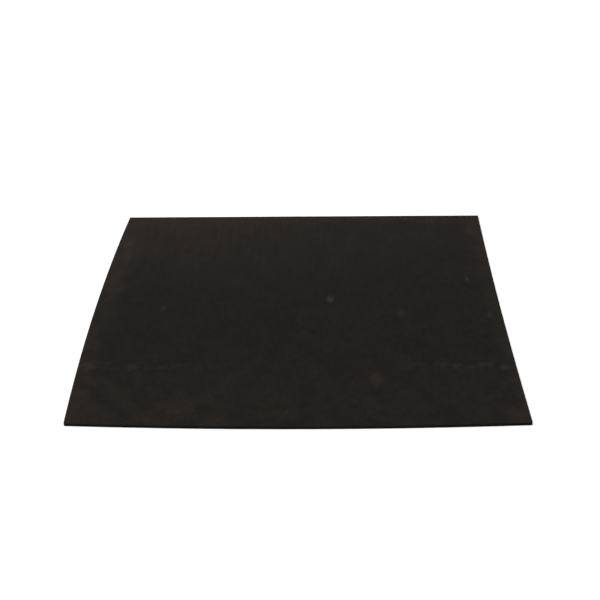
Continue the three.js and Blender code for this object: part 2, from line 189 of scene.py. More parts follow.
class StudioSettings(PropertyGroup):
    """Floor, lights and camera."""

    floor_size: length_property("Floor size", "Length of the floor's side", 60.0)
    floor_colour: colour_property("Floor", "Colour of the floor", (0.86, 0.86, 0.86))
    backdrop_brightness: amount_property("Backdrop brightness", "How bright the white backdrop looks", 1.1)
    horizon_light: amount_property("Horizon light", "Light that comes in from the horizon", 0.55)
    zenith_light: amount_property("Zenith light", "Light that comes down from the studio's ceiling", 0.3)
    softbox_strength: amount_property("Softbox strength", "Strength of the wide softbox overhead", 3.3)
    softbox_angle: FloatProperty(
        name="Softbox angle", description="How wide the softbox overhead looks from the floor",
        default=math.radians(75), subtype="ANGLE",
    )
    softbox_turn: FloatVectorProperty(
        name="Softbox turn", description="The softbox's rotation",
        subtype="EULER", size=3, default=(math.radians(8), math.radians(-10), 0.0),
    )
    camera_place: FloatVectorProperty(
        name="Camera place", description="Where the camera stands",
        subtype="TRANSLATION", size=3, default=(0.0351, -1.2343, 0.7651),
    )
    camera_turn: FloatVectorProperty(
        name="Camera turn", description="The camera's rotation",
        subtype="EULER", size=3, default=(math.radians(58.631), math.radians(0.876), math.radians(0.966)),
    )
    lens: FloatProperty(name="Lens", description="Focal length in millimetres", default=66.14, min=10.0)


class HeatMatSettings(PropertyGroup):
    """All the settings of the heat mat."""

    sheet: PointerProperty(type=SheetSettings)
    rubber: PointerProperty(type=RubberSettings)
    heater: PointerProperty(type=HeaterSettings)
    studio: PointerProperty(type=StudioSettings)


# ---------------------------------------------------------------------------------------------------
# The outline in plan


# Noise that bends the sheets: how many waves go into a metre, and which layer of the noise is used
LIFT_WAVES = (9, 3.7)
FACE_WAVES = (14, 8.1)
FELT_WAVES = (60, 1.3)


def waves(point, kind, swing=0.5):
    """Smooth noise at a place in plan, from 0 to 1."""
    scale, layer = kind
    value = 0.5 + swing * noise.noise(Vector((point.x * scale, point.y * scale, layer)))
    return min(max(value, 0.0), 1.0)


def swell(bow):
    return max(bow, 0.0)


class Plan:
    """The mat's outline and the way its edge lies, from the frame's box and the bows of its sides."""

    def __init__(self, sheet):
        self.sheet = sheet
        width = CAD_HIGH.x - CAD_LOW.x - swell(sheet.bow_left) - swell(sheet.bow_right)
        depth = CAD_HIGH.y - CAD_LOW.y - swell(sheet.bow_front) - swell(sheet.bow_back)
        self.half = Vector((width / 2, depth / 2))
        self.middle = Vector((
            CAD_LOW.x + swell(sheet.bow_left) + width / 2,
            CAD_LOW.y + swell(sheet.bow_front) + depth / 2,
        ))

    def place(self, across, along):
        """A point of the square-cornered mat, bent to the bows of its sides. Both are from -half to half."""
        across, along = self.round_corner(across, along)
        u, v = across / self.half.x, along / self.half.y
        sheet = self.sheet
        x = across + (1 - v * v) * ((1 + u) * sheet.bow_right - (1 - u) * sheet.bow_left) / 2
        y = along + (1 - u * u) * ((1 + v) * sheet.bow_back - (1 - v) * sheet.bow_front) / 2
        return self.middle + Vector((x, y))

    def round_corner(self, across, along):
        """Draws a point near a square corner in, so that the corner becomes round."""
        radius = self.sheet.corner_radius
        from_side = radius - (self.half.x - abs(across))
        from_end = radius - (self.half.y - abs(along))
        if radius == 0 or from_side <= 0 or from_end <= 0:
            return across, along
        shrink = max(from_side, from_end) / math.hypot(from_side, from_end)
        across = math.copysign(self.half.x - radius + from_side * shrink, across)
        along = math.copysign(self.half.y - radius + from_end * shrink, along)
        return across, along

    def lift(self, point):
        """How far the rim stands off the bench at a point: nothing inside it, most along the cut edge."""
        outside = max(
            POCKET_LOW.x - point.x, point.x - POCKET_HIGH.x, POCKET_LOW.y - point.y, point.y - POCKET_HIGH.y
        )
        if outside <= 0:
            return 0.0
        rim = CAD_HIGH.x - POCKET_HIGH.x
        share = min(outside / rim, 1.0)
        return self.sheet.edge_lift * share * share * waves(point, LIFT_WAVES, swing=1.0)

    def unevenness(self, point):
        """How far the top face swells up at a point."""
        return self.sheet.unevenness * waves(point, FACE_WAVES)


def divided(start, end, count):
    """Evenly spaced places from start to end, with count spaces between them."""
    return [start + (end - start) * index / count for index in range(count + 1)]


def spaced(half, step, rim_steps):
    """Stations from -half to half: close together near both ends, then evenly spaced."""
    inner = half - rim_steps[-1]
    even = divided(-inner, inner, max(2, round(2 * inner / step)))
    edge = [half - distance for distance in rim_steps[:-1]]
    return [-place for place in edge] + even + edge[::-1]


# ---------------------------------------------------------------------------------------------------
# Mesh code


SHARP_ANGLE = math.radians(40)
RIM_STEPS = (0.0, 0.6 * MM, 1.3 * MM, 2.5 * MM, 5 * MM, 9 * MM)  # rows of a sheet's mesh in from its edge


def shaded(mesh):
    """Makes a mesh smooth but for its sharp edges."""
    mesh.shade_smooth()
    mesh.set_sharp_from_angle(angle=SHARP_ANGLE)
    return mesh


def new_mesh(name, points, faces):
    """A closed mesh with its faces pointing out."""
    mesh = bpy.data.meshes.new(name)
    mesh.from_pydata([tuple(point) for point in points], [], faces)
    if mesh.validate():
        raise RuntimeError(f"{name}: its mesh had faults")
    work = bmesh.new()
    work.from_mesh(mesh)
    bmesh.ops.recalc_face_normals(work, faces=work.faces)
    if any(not edge.is_manifold for edge in work.edges):
        raise RuntimeError(f"{name}: its mesh is open")
    work.to_mesh(mesh)
    work.free()
    return shaded(mesh)


def as_piece(name, mesh, node, slot, *materials):
    """A piece that rides on the mat's body and stands for a node of the frame."""
    piece = bpy.data.objects.new(name, mesh)
    bpy.context.scene.collection.objects.link(piece)
    for material in materials:
        mesh.materials.append(material)
    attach(piece, BODY)
    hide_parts(node)
    return piece


def new_piece(name, shape, node, slot, *materials):
    """A piece from points and faces, that stands for a node of the frame."""
    return as_piece(name, new_mesh(name, *shape), node, slot, *materials)


def middle_of(node):
    low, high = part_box(node)
    return (low + high) / 2


def circle(radius, count):
    """Points round a circle, anticlockwise."""
    turns = [2 * math.pi * index / count for index in range(count)]
    return [Vector((radius * math.cos(turn), radius * math.sin(turn))) for turn in turns]


def arc(centre, radius, start, end, z, steps=24):
    """Points along an arc in plan, its angles in quarter turns."""
    points = []
    for step in range(steps + 1):
        turn = (start + (end - start) * step / steps) * math.pi / 2
        points.append(Vector((centre[0] + radius * math.cos(turn), centre[1] + radius * math.sin(turn), z)))
    return points


def lofted(stations, closed=False):
    """Points and faces through stations. Each is (centre, direction, loop), and its loop's points stand
    sideways and up from the centre, across the direction. Open ends are capped."""
    points = []
    for centre, direction, loop in stations:
        sideways = Vector((direction.y, -direction.x, 0.0))
        points += [centre + sideways * place.x + Vector((0.0, 0.0, place.y)) for place in loop]
    size = len(stations[0][2])
    rings = [list(range(start, start + size)) for start in range(0, len(points), size)]
    pairs = list(zip(rings, rings[1:] + rings[:1])) if closed else list(zip(rings, rings[1:]))
    faces = [face for pair in pairs for face in bridge(*pair)]
    if not closed:
        faces += [tuple(rings[0]), tuple(reversed(rings[-1]))]
    return points, faces


def hollow(middle, direction, half, steps, outer, inner):
    """A tube with a wall. outer and inner give the loop across it at each place from -half to half."""
    places = [half * (2 * step / steps - 1) for step in range(steps + 1)]
    stations = [(middle + direction * place, direction, outer(place)) for place in places]
    stations += [(middle + direction * place, direction, inner(place)) for place in reversed(places)]
    return lofted(stations, closed=True)


def ring_of(middle, radius, section, count=48):
    """A ring about an upright axis, its section standing across a circle of the given radius."""
    stations = []
    for index in range(count):
        turn = 2 * math.pi * index / count
        outward = Vector((math.cos(turn), math.sin(turn), 0.0))
        stations.append((middle + outward * radius, Vector((-outward.y, outward.x, 0.0)), section))
    return lofted(stations, closed=True)


def cells_of(across, along, keeps=lambda x, y: True):
    """The corners and the quads of a grid in plan, without the cells whose middle isn't kept."""
    corners, cells, numbers = [], [], {}
    for row in range(len(along) - 1):
        for column in range(len(across) - 1):
            middle = (across[column] + across[column + 1]) / 2, (along[row] + along[row + 1]) / 2
            if not keeps(*middle):
                continue
            cell = []
            for place in ((column, row), (column + 1, row), (column + 1, row + 1), (column, row + 1)):
                if place not in numbers:
                    numbers[place] = len(corners)
                    corners.append(Vector((across[place[0]], along[place[1]])))
                cell.append(numbers[place])
            cells.append(cell)
    return corners, cells


def thickened(corners, cells, low, high):
    """A closed sheet over cells in plan. low and high give the heights of its two faces at a corner."""
    count = len(corners)
    points = [Vector((corner.x, corner.y, high(corner))) for corner in corners]
    points += [Vector((corner.x, corner.y, low(corner))) for corner in corners]
    faces = [tuple(cell) for cell in cells]
    faces += [tuple(index + count for index in reversed(cell)) for cell in cells]
    edges = dict.fromkeys(pair for cell in cells for pair in zip(cell, cell[1:] + cell[:1]))
    for first, second in edges:
        if (second, first) not in edges:
            faces.append((second, first, first + count, second + count))
    return points, faces


def grid_faces(columns, rows, start, flip):
    """Quads over a grid of points that were listed row by row."""
    faces = []
    for row in range(rows - 1):
        for column in range(columns - 1):
            corner = start + row * columns + column
            quad = (corner, corner + 1, corner + columns + 1, corner + columns)
            faces.append(quad[::-1] if flip else quad)
    return faces


def grid_border(columns, rows):
    """The indices of a grid's border, anticlockwise seen from above."""
    front = list(range(columns))
    right = [row * columns + columns - 1 for row in range(1, rows)]
    back = [(rows - 1) * columns + column for column in range(columns - 2, -1, -1)]
    left = [row * columns for row in range(rows - 2, 0, -1)]
    return front + right + back + left


def inward_normals(loop):
    """The unit normal of a closed anticlockwise loop in plan at each of its points, pointing in."""
    normals = []
    for index in range(len(loop)):
        along = (loop[(index + 1) % len(loop)] - loop[index - 1]).normalized()
        normals.append(Vector((-along.y, along.x)))
    return normals


def bridge(first, second):
    """Quads between two closed loops of indices, the second outside or below the first."""
    count = len(first)
    return [
        (first[index], second[index], second[(index + 1) % count], first[(index + 1) % count])
        for index in range(count)
    ]


def sheet_mesh(plan, low, high, low_edge, high_edge, uneven):
    """A closed sheet over the whole outline. low_edge and high_edge are the rings of its two edges, each
    (inset, height) from the face outwards."""
    rim_steps = [*RIM_STEPS, CAD_HIGH.x - POCKET_HIGH.x]
    across = spaced(plan.half.x, plan.sheet.grid_step, rim_steps)
    along = spaced(plan.half.y, plan.sheet.grid_step, rim_steps)
    columns, rows = len(across), len(along)
    flat = [plan.place(x, y) for y in along for x in across]
    border = grid_border(columns, rows)
    loop = [flat[index] for index in border]
    normals = inward_normals(loop)

    points, faces, rings = [], [], []
    for z, edge, is_top in ((high, high_edge, True), (low, low_edge, False)):
        start = len(points)
        inset = dict(zip(border, [point + normal * edge[0][0] for point, normal in zip(loop, normals)]))
        for index, point in enumerate(flat):
            place = inset.get(index, point)
            rise = plan.unevenness(place) if uneven and is_top and index not in inset else 0.0
            points.append(Vector((place.x, place.y, z + rise)))
        faces += grid_faces(columns, rows, start, flip=not is_top)
        rings.append([start + index for index in border])
        for inset_by, height in edge[1:]:
            rings.append(list(range(len(points), len(points) + len(loop))))
            for point, normal in zip(loop, normals):
                place = point + normal * inset_by
                points.append(Vector((place.x, place.y, height)))
    top_rings, bottom_rings = rings[:len(high_edge)], rings[len(high_edge):]
    order = top_rings + bottom_rings[::-1]
    for upper, lower in zip(order, order[1:]):
        faces += bridge(upper, lower)
    for point in points:
        point.z += plan.lift(point)
    return points, faces


def quarter_round(radius, z, outward, steps=3):
    """Rings of a rounded edge, from the face at z to the side: outward is 1 for a top edge, -1 below."""
    return [
        (radius * (1 - math.sin(turn)), z - outward * radius * (1 - math.cos(turn)))
        for turn in [math.pi / 2 * step / steps for step in range(steps + 1)]
    ]


# ---------------------------------------------------------------------------------------------------
# Shader nodes


def add(tree, kind, inputs=None, **settings):
    """A shader node. Each input is a value, or another node's socket, which is linked."""
    made = tree.nodes.new(kind)
    for name, value in settings.items():
        setattr(made, name, value)
    for name, value in (inputs or {}).items():
        if isinstance(value, NodeSocket):
            tree.links.new(value, made.inputs[name])
        else:
            made.inputs[name].default_value = value
    return made


def maths(tree, operation, first, second=0.0, clamp=False):
    inputs = {0: first, 1: second}
    return add(tree, "ShaderNodeMath", inputs, operation=operation, use_clamp=clamp).outputs[0]


def product(tree, first, *others):
    """Values multiplied together."""
    for other in others:
        first = maths(tree, "MULTIPLY", first, other)
    return first


def weighted(tree, *shares):
    """The sum of values, each given with its weight."""
    whole = None
    for value, weight in shares:
        part = maths(tree, "MULTIPLY", value, weight)
        whole = part if whole is None else maths(tree, "ADD", whole, part)
    return whole


def away_from(tree, value, place):
    """How far a coordinate is from a place along its axis."""
    return maths(tree, "ABSOLUTE", maths(tree, "SUBTRACT", value, place))


def ramp(tree, value, low, high, to_low=0.0, to_high=1.0):
    """A smooth step of value, from to_low at low to to_high at high."""
    inputs = {"Value": value, "From Min": low, "From Max": high, "To Min": to_low, "To Max": to_high}
    return add(tree, "ShaderNodeMapRange", inputs, interpolation_type="SMOOTHSTEP").outputs[0]


def blend_colour(tree, share, first, second):
    mix = add(tree, "ShaderNodeMix", data_type="RGBA")
    for socket, value in ((mix.inputs[0], share), (mix.inputs[6], first), (mix.inputs[7], second)):
        if isinstance(value, NodeSocket):
            tree.links.new(value, socket)
        else:
            socket.default_value = value
    return mix.outputs[2]


def noise_texture(tree, vector, size, detail=2.0, roughness=0.5, count=1.0):
    """Noise from 0 to 1, with about count features in each size, which is in metres and may be a socket."""
    scale = maths(tree, "DIVIDE", count, size) if isinstance(size, NodeSocket) else count / size
    inputs = {"Vector": vector, "Scale": scale, "Detail": detail, "Roughness": roughness}
    return add(tree, "ShaderNodeTexNoise", inputs).outputs[0]


def cell_texture(tree, vector, size, feature="F1"):
    """Distances in irregular cells of about a size, which is in metres and may be a socket."""
    scale = maths(tree, "DIVIDE", 1.0, size) if isinstance(size, NodeSocket) else 1 / size
    values = {"Vector": vector, "Scale": scale}
    return add(tree, "ShaderNodeTexVoronoi", values, feature=feature).outputs["Distance"]


def stretched(tree, vector, scale):
    """Coordinates scaled along each axis: a feature is drawn out where the scale is small."""
    return add(tree, "ShaderNodeMapping", {"Vector": vector, "Scale": scale}, vector_type="POINT").outputs[0]


def turned(tree, vector, angle):
    """Coordinates turned about the upright axis."""
    return add(tree, "ShaderNodeMapping", {"Vector": vector, "Rotation": (0.0, 0.0, angle)}).outputs[0]


def axis_of(tree, vector, axis):
    """One coordinate of a vector: 0 is across, 1 is along and 2 is up."""
    return add(tree, "ShaderNodeSeparateXYZ", {0: vector}).outputs[axis]


def make_group(name, numbers, outputs, build, vectors=("Vector",)):
    """A shader node group. numbers are its value inputs with their defaults; build fills it."""
    tree = bpy.data.node_groups.new(name, "ShaderNodeTree")
    for label in vectors:
        tree.interface.new_socket(label, in_out="INPUT", socket_type="NodeSocketVector")
    for label, default in numbers.items():
        socket = tree.interface.new_socket(label, in_out="INPUT", socket_type="NodeSocketFloat")
        socket.default_value = default
    for label in outputs:
        tree.interface.new_socket(label, in_out="OUTPUT", socket_type="NodeSocketFloat")
    source = tree.nodes.new("NodeGroupInput").outputs
    sink = tree.nodes.new("NodeGroupOutput")
    for label, socket in build(tree, source).items():
        tree.links.new(socket, sink.inputs[label])
    return tree


def use_group(tree, name, inputs):
    """Places a group in a tree, built the first time that it is asked for, and gives its outputs."""
    shared = bpy.data.node_groups.get(name) or GROUPS[name]()
    return add(tree, "ShaderNodeGroup", inputs, node_tree=shared).outputs


# ---------------------------------------------------------------------------------------------------
# Effects that more than one material uses


def grain_group():
    """Fine calendered grain: shallow cells with a little noise, as a height."""

    def build(tree, source):
        cells = cell_texture(tree, source["Vector"], source["Size"])
        fine = noise_texture(tree, source["Vector"], source["Size"], detail=3.0, roughness=0.6, count=2.6)
        return {"Height": weighted(tree, (cells, 0.55), (fine, 0.45))}

    return make_group("Rubber grain", {"Size": 0.45 * MM}, ("Height",), build)


def specks_group():
    """Scattered specks of dust and lint with ragged rims, most of them much smaller than the largest."""
    smallest, largest = 0.04, 0.46  # radii, as shares of the spacing
    raggedness = 0.3

    def build(tree, source):
        scale = maths(tree, "DIVIDE", 1.0, source["Spacing"])
        cells = add(tree, "ShaderNodeTexVoronoi", {"Vector": source["Vector"], "Scale": scale}).outputs
        ragged = noise_texture(tree, source["Vector"], source["Spacing"], count=4.0)
        chance = add(tree, "ShaderNodeSeparateColor", {0: cells["Color"]}).outputs[0]
        growth = maths(tree, "MULTIPLY", maths(tree, "POWER", chance, 3.0), largest - smallest)
        rim = maths(tree, "MULTIPLY", maths(tree, "SUBTRACT", ragged, 0.5), raggedness)
        distance = maths(tree, "ADD", cells["Distance"], rim)
        return {"Mask": ramp(tree, distance, 0.0, maths(tree, "ADD", growth, smallest), 1.0, 0.0)}

    return make_group("Specks", {"Spacing": 3 * MM}, ("Mask",), build)


def dust_group():
    """A thin film of dust with specks in it, more in some patches than in others."""
    film_share = 0.3  # how strong the film is beside a speck

    def build(tree, source):
        patches = noise_texture(tree, source["Vector"], source["Patch size"], detail=3.0, roughness=0.6)
        places = {"Vector": source["Vector"], "Spacing": source["Spacing"]}
        specks = use_group(tree, "Specks", places)["Mask"]
        film = ramp(tree, patches, 0.35, 0.75)
        spread = maths(tree, "MULTIPLY", film, maths(tree, "ADD", specks, film_share))
        return {"Mask": maths(tree, "MULTIPLY", spread, source["Amount"], clamp=True)}

    numbers = {"Amount": 0.3, "Patch size": 80 * MM, "Spacing": 3 * MM}
    return make_group("Dust", numbers, ("Mask",), build)


def scuff_group():
    """A pale scuff with a soft, ragged rim, at a place in metres. It is twice as long as wide."""
    features_per_metre = 220.0
    raggedness = 1.2

    def build(tree, source):
        ragged = noise_texture(tree, source["Vector"], 1.0, detail=3.0, count=features_per_metre)
        offset = add(
            tree, "ShaderNodeVectorMath", {0: source["Vector"], 1: source["Centre"]}, operation="SUBTRACT",
        )
        drawn_out = stretched(tree, offset.outputs[0], (1.0, 0.5, 1.0))
        away = add(tree, "ShaderNodeVectorMath", {0: drawn_out}, operation="LENGTH").outputs["Value"]
        rim = maths(tree, "MULTIPLY", maths(tree, "SUBTRACT", ragged, 0.5), raggedness)
        share = maths(tree, "ADD", maths(tree, "DIVIDE", away, source["Radius"]), rim)
        mask = ramp(tree, share, 0.1, 1.1, 1.0, 0.0)
        return {"Mask": maths(tree, "MULTIPLY", mask, source["Strength"], clamp=True)}

    numbers = {"Radius": 3 * MM, "Strength": 0.5}
    return make_group("Scuff", numbers, ("Mask",), build, vectors=("Vector", "Centre"))


def skin_group():
    """The faint unevenness of a moulded or extruded skin, as a height and as a colour share."""

    def build(tree, source):
        fine = noise_texture(tree, source["Vector"], source["Size"])
        broad = noise_texture(tree, source["Vector"], source["Size"], detail=3.0, count=0.12)
        shade = weighted(tree, (fine, 0.5), (broad, 0.5))
        return {"Height": fine, "Shade": ramp(tree, shade, 0.3, 0.7)}

    return make_group("Moulded skin", {"Size": 0.2 * MM}, ("Height", "Shade"), build)


def weave_group():
    """Round threads that pass over and under each other, as a height and as a mask of the gaps."""
    dip = 0.45  # height of a thread where it passes under

    def build(tree, source):
        turns = maths(tree, "DIVIDE", math.pi, source["Pitch"])
        split = add(tree, "ShaderNodeSeparateXYZ", {0: source["Vector"]})
        sines = [
            maths(tree, "SINE", maths(tree, "MULTIPLY", split.outputs[axis], turns)) for axis in (0, 1)
        ]
        threads = [maths(tree, "ABSOLUTE", sine) for sine in sines]
        over = ramp(tree, maths(tree, "MULTIPLY", *sines), -0.25, 0.25)
        warp = maths(tree, "MULTIPLY", threads[0], ramp(tree, over, 0.0, 1.0, dip, 1.0))
        weft = maths(tree, "MULTIPLY", threads[1], ramp(tree, over, 0.0, 1.0, 1.0, dip))
        height = maths(tree, "MAXIMUM", warp, weft)
        return {"Height": height, "Gap": ramp(tree, height, 0.2, 0.55, 1.0, 0.0)}

    return make_group("Weave", {"Pitch": 1.0 * MM}, ("Height", "Gap"), build)


GROUPS = {
    "Rubber grain": grain_group,
    "Specks": specks_group,
    "Dust": dust_group,
    "Scuff": scuff_group,
    "Moulded skin": skin_group,
    "Weave": weave_group,
}


# ---------------------------------------------------------------------------------------------------
# Finishes


def opaque(colour, share=1.0):
    """A colour as a socket takes it, darker or lighter by a share."""
    return (*(min(part * share, 1.0) for part in colour), 1.0)


def shades(colour, spread):
    """A colour a little darker and a little lighter."""
    return opaque(colour, 1 - spread), opaque(colour, 1 + spread)


def new_material(name):
    """A material, its tree, its Principled shader and its coordinates in metres."""
    material = bpy.data.materials.new(name)
    material.use_nodes = True
    tree = material.node_tree
    coordinates = tree.nodes.new("ShaderNodeTexCoord").outputs["Object"]
    return material, tree, tree.nodes["Principled BSDF"], coordinates


def finish_with(tree, shader, colour, roughness, height=None, depth=0.0, strength=1.0):
    """Links a material's patterns to its shader. depth is how far the height's 0 to 1 stands, in metres."""
    tree.links.new(colour, shader.inputs["Base Color"])
    tree.links.new(roughness, shader.inputs["Roughness"])
    if height is not None:
        bump = add(tree, "ShaderNodeBump", {"Height": height, "Distance": depth, "Strength": strength})
        tree.links.new(bump.outputs[0], shader.inputs["Normal"])


# Scuffs on the top face: (share of the width from the left, share of the depth from the back, radius,
# strength)
SCUFFS = (
    (0.574, 0.476, 6.5 * MM, 0.13),
    (0.676, 0.833, 11.0 * MM, 0.06),
    (0.750, 0.542, 9.0 * MM, 0.05),
    (0.159, 0.517, 6.0 * MM, 0.06),
    (0.928, 0.372, 5.0 * MM, 0.07),
    (0.964, 0.556, 4.5 * MM, 0.08),
    (0.022, 0.165, 13.0 * MM, 0.05),
    (0.03, 0.235, 11.0 * MM, 0.04),
    (0.965, 0.1, 9.0 * MM, 0.04),
)
CREASE_DEPTH = 0.782  # where a faint fold crosses the mat, as a share of its depth from the back
CREASE_WIDTH = 13 * MM
CREASE_WANDER = 14 * MM
# The dust along the back also lays on a painted sheen, paler towards the back edge.
BACK_SHEEN_DEPTH = 0.3  # how far forward the film of dust along the back reaches, in metres
PALE_RIM_DEPTH = 0.035  # how far in from the cut edge the rubber is paler, in metres
INSET_ATTRIBUTE = "inset"


def crease_mask(tree, where, plan):
    """A faint fold line across the mat, broken up and missing from its middle."""
    line_y = plan.middle.y + plan.half.y * (1 - 2 * CREASE_DEPTH)
    wander = maths(tree, "SUBTRACT", noise_texture(tree, where, 50 * MM), 0.5)
    bent_y = maths(tree, "ADD", axis_of(tree, where, 1), maths(tree, "MULTIPLY", wander, CREASE_WANDER))
    line = ramp(tree, away_from(tree, bent_y, line_y), 0.0, CREASE_WIDTH, 1.0, 0.0)
    ends = ramp(tree, away_from(tree, axis_of(tree, where, 0), plan.middle.x), 0.06, 0.2)
    broken = ramp(tree, noise_texture(tree, where, 10 * MM, detail=3.0), 0.42, 0.64)
    return product(tree, line, ends, broken)


def back_dust_and_sheen(tree, where, plan):
    """Dust together with a painted sheen: paler towards the back and the left, in faint lengthwise streaks.
    """
    back = plan.middle.y + plan.half.y
    # Painted sheen with dust: strongest at the back left, fading forward and towards the right.
    depth = ramp(tree, axis_of(tree, where, 1), back - BACK_SHEEN_DEPTH, back)
    across = axis_of(tree, where, 0)
    left = ramp(tree, across, plan.middle.x - plan.half.x, plan.middle.x + plan.half.x, 1.0, 0.35)
    streaks = noise_texture(tree, stretched(tree, where, (1.0, 0.12, 1.0)), 5 * MM, detail=3.0)
    return product(tree, depth, left, ramp(tree, streaks, 0.3, 0.7, 0.55, 1.0))


def front_dust(tree, where, plan):
    """Pale specks in a thin film along the front, thickest at the left."""
    specks = use_group(tree, "Specks", {"Vector": where, "Spacing": 2.8 * MM})["Mask"]
    front = plan.middle.y - plan.half.y
    near_front = ramp(tree, axis_of(tree, where, 1), front + 0.03, front + 0.17, 1.0, 0.0)
    left = ramp(tree, axis_of(tree, where, 0), plan.middle.x - 0.14, plan.middle.x, 1.0, 0.55)
    cloud = ramp(tree, noise_texture(tree, where, 40 * MM, detail=3.0), 0.3, 0.7, 0.3, 1.0)
    return product(tree, near_front, left, cloud, maths(tree, "ADD", specks, 0.16))


def pale_rim(tree, where, plan):
    """Paler rubber towards the left, the right and the back edge."""
    inset = add(tree, "ShaderNodeAttribute", attribute_name=INSET_ATTRIBUTE).outputs["Fac"]
    cloud = ramp(tree, noise_texture(tree, where, 20 * MM, detail=3.0), 0.3, 0.7, 0.5, 1.0)
    return product(tree, ramp(tree, inset, 0.0, PALE_RIM_DEPTH, 1.0, 0.0), cloud)


# The top face's marks, one of them a painted sheen along the back, and how much of the dust's colour each
# one lays on
MARK_SHARES = ((crease_mask, 0.05), (front_dust, 0.2), (pale_rim, 0.042), (back_dust_and_sheen, 0.052))


def top_marks(tree, where, plan, marks):
    """Adds the top face's scuffs, fold, dust, paler rim and painted sheen along the back to a mask of its
    marks.
    """
    for across, back, radius, strength in SCUFFS:
        centre = plan.middle + Vector((plan.half.x * (2 * across - 1), plan.half.y * (1 - 2 * back)))
        scuff = use_group(tree, "Scuff", {
            "Vector": where, "Centre": (*centre, TOP_TOP), "Radius": radius, "Strength": strength,
        })
        marks = maths(tree, "MAXIMUM", marks, scuff["Mask"])
    for make_mask, amount in MARK_SHARES:
        marks = maths(tree, "ADD", marks, maths(tree, "MULTIPLY", make_mask(tree, where, plan), amount))
    return marks


def cover_material(name, plan, rubber, marked):
    """Matt black calendered rubber with a film of dust. The top face also has its own marks, among them a
    painted sheen along the back.
    """
    material, tree, shader, where = new_material(name)
    grain = use_group(tree, "Rubber grain", {"Vector": where, "Size": rubber.grain_size})["Height"]
    flow = noise_texture(tree, stretched(tree, where, (1.0, 0.4, 1.0)), 4.5 * MM, detail=3.0, roughness=0.6)
    mottle = noise_texture(tree, where, 20 * MM, detail=3.0, roughness=0.6)
    shade = weighted(tree, (flow, 0.78), (mottle, 0.22))
    darker, paler = opaque(rubber.cover_colour, 0.5), opaque(rubber.cover_colour, 1.4)
    clean = blend_colour(tree, ramp(tree, shade, 0.35, 0.65), darker, paler)
    marks = use_group(tree, "Dust", {
        "Vector": where, "Amount": 0.055, "Patch size": 35 * MM, "Spacing": 4 * MM,
    })["Mask"]
    if marked:
        marks = top_marks(tree, where, plan, marks)
    # Dust and marks, and on the top face the painted sheen along the back, all in the dust's colour.
    colour = blend_colour(tree, marks, clean, opaque(rubber.dust_and_sheen_colour))
    height = weighted(tree, (grain, 0.5), (flow, 0.5))
    finish_with(
        tree, shader, colour, ramp(tree, shade, 0.3, 0.7, 0.6, 0.74), height, depth=0.08 * MM, strength=0.7,
    )
    shader.inputs["Specular IOR Level"].default_value = 0.1
    shader.inputs["Specular Tint"].default_value = (0.93, 0.88, 0.85, 1.0)
    return material


def cut_edge_material(rubber):
    """Knife-cut rubber: fine strokes across the edge's height, painted darker than the covers as shade on
    the edge.
    """
    material, tree, shader, where = new_material("cut_edge_rubber")
    low = stretched(tree, where, (1.0, 1.0, 0.12))
    strokes = noise_texture(tree, low, 0.7 * MM, detail=3.0, roughness=0.65)
    dust = use_group(tree, "Dust", {
        "Vector": where, "Amount": 0.12, "Patch size": 30 * MM, "Spacing": 1.5 * MM,
    })["Mask"]
    # Painted shade: the cut edge is kept darker than the covers.
    clean = blend_colour(tree, strokes, *shades(rubber.shaded_cut_colour, 0.25))
    colour = blend_colour(tree, dust, clean, opaque(rubber.dust_and_sheen_colour))
    finish_with(
        tree, shader, colour, ramp(tree, strokes, 0.3, 0.7, 0.7, 0.88), strokes,
        depth=0.08 * MM, strength=0.6,
    )
    shader.inputs["Specular IOR Level"].default_value = 0.05
    return material


def moulded_material(name, colour, smoothest, roughest, skin=0.2 * MM, gloss=0.5):
    """Moulded or extruded plastic or rubber of one colour."""
    material, tree, shader, where = new_material(name)
    surface = use_group(tree, "Moulded skin", {"Vector": where, "Size": skin})
    tint = blend_colour(tree, surface["Shade"], *shades(colour, 0.14))
    roughness = ramp(tree, surface["Shade"], 0.0, 1.0, smoothest, roughest)
    finish_with(tree, shader, tint, roughness, surface["Height"], depth=0.02 * MM)
    shader.inputs["Specular IOR Level"].default_value = gloss
    return material


def earth_material(heater):
    """Green insulation with a yellow stripe along it."""
    material, tree, shader, where = new_material("earth_insulation")
    surface = use_group(tree, "Moulded skin", {"Vector": where, "Size": 0.2 * MM})
    away = away_from(tree, axis_of(tree, where, 0), middle_of("earth_lead").x)
    stripe = ramp(tree, away, 0.2 * MM, 0.24 * MM, 1.0, 0.0)
    green = blend_colour(tree, surface["Shade"], *shades(heater.earth_colour, 0.14))
    colour = blend_colour(tree, stripe, green, opaque(heater.stripe_colour))
    roughness = ramp(tree, surface["Shade"], 0.0, 1.0, 0.38, 0.5)
    finish_with(tree, shader, colour, roughness, surface["Height"], depth=0.02 * MM)
    return material


def metal_material(name, colour, smoothest, roughest, dullness):
    """Bare or tinned metal, duller and darker where it has tarnished."""
    material, tree, shader, where = new_material(name)
    tarnish = noise_texture(tree, where, 1.2 * MM, detail=4.0, roughness=0.65)
    patches = ramp(tree, tarnish, 0.4, 0.7)
    tint = blend_colour(tree, patches, opaque(colour), opaque(colour, dullness))
    roughness = ramp(tree, patches, 0.0, 1.0, smoothest, roughest)
    finish_with(tree, shader, tint, roughness, noise_texture(tree, where, 0.12 * MM), depth=0.01 * MM)
    shader.inputs["Metallic"].default_value = 1.0
    return material


# The foil's creases, coarse and fine: size of the facets between them, width as a share of it, and how
# far they are bent
FOIL_CREASES = ((31 * MM, 0.035, 12 * MM), (12 * MM, 0.06, 6 * MM))


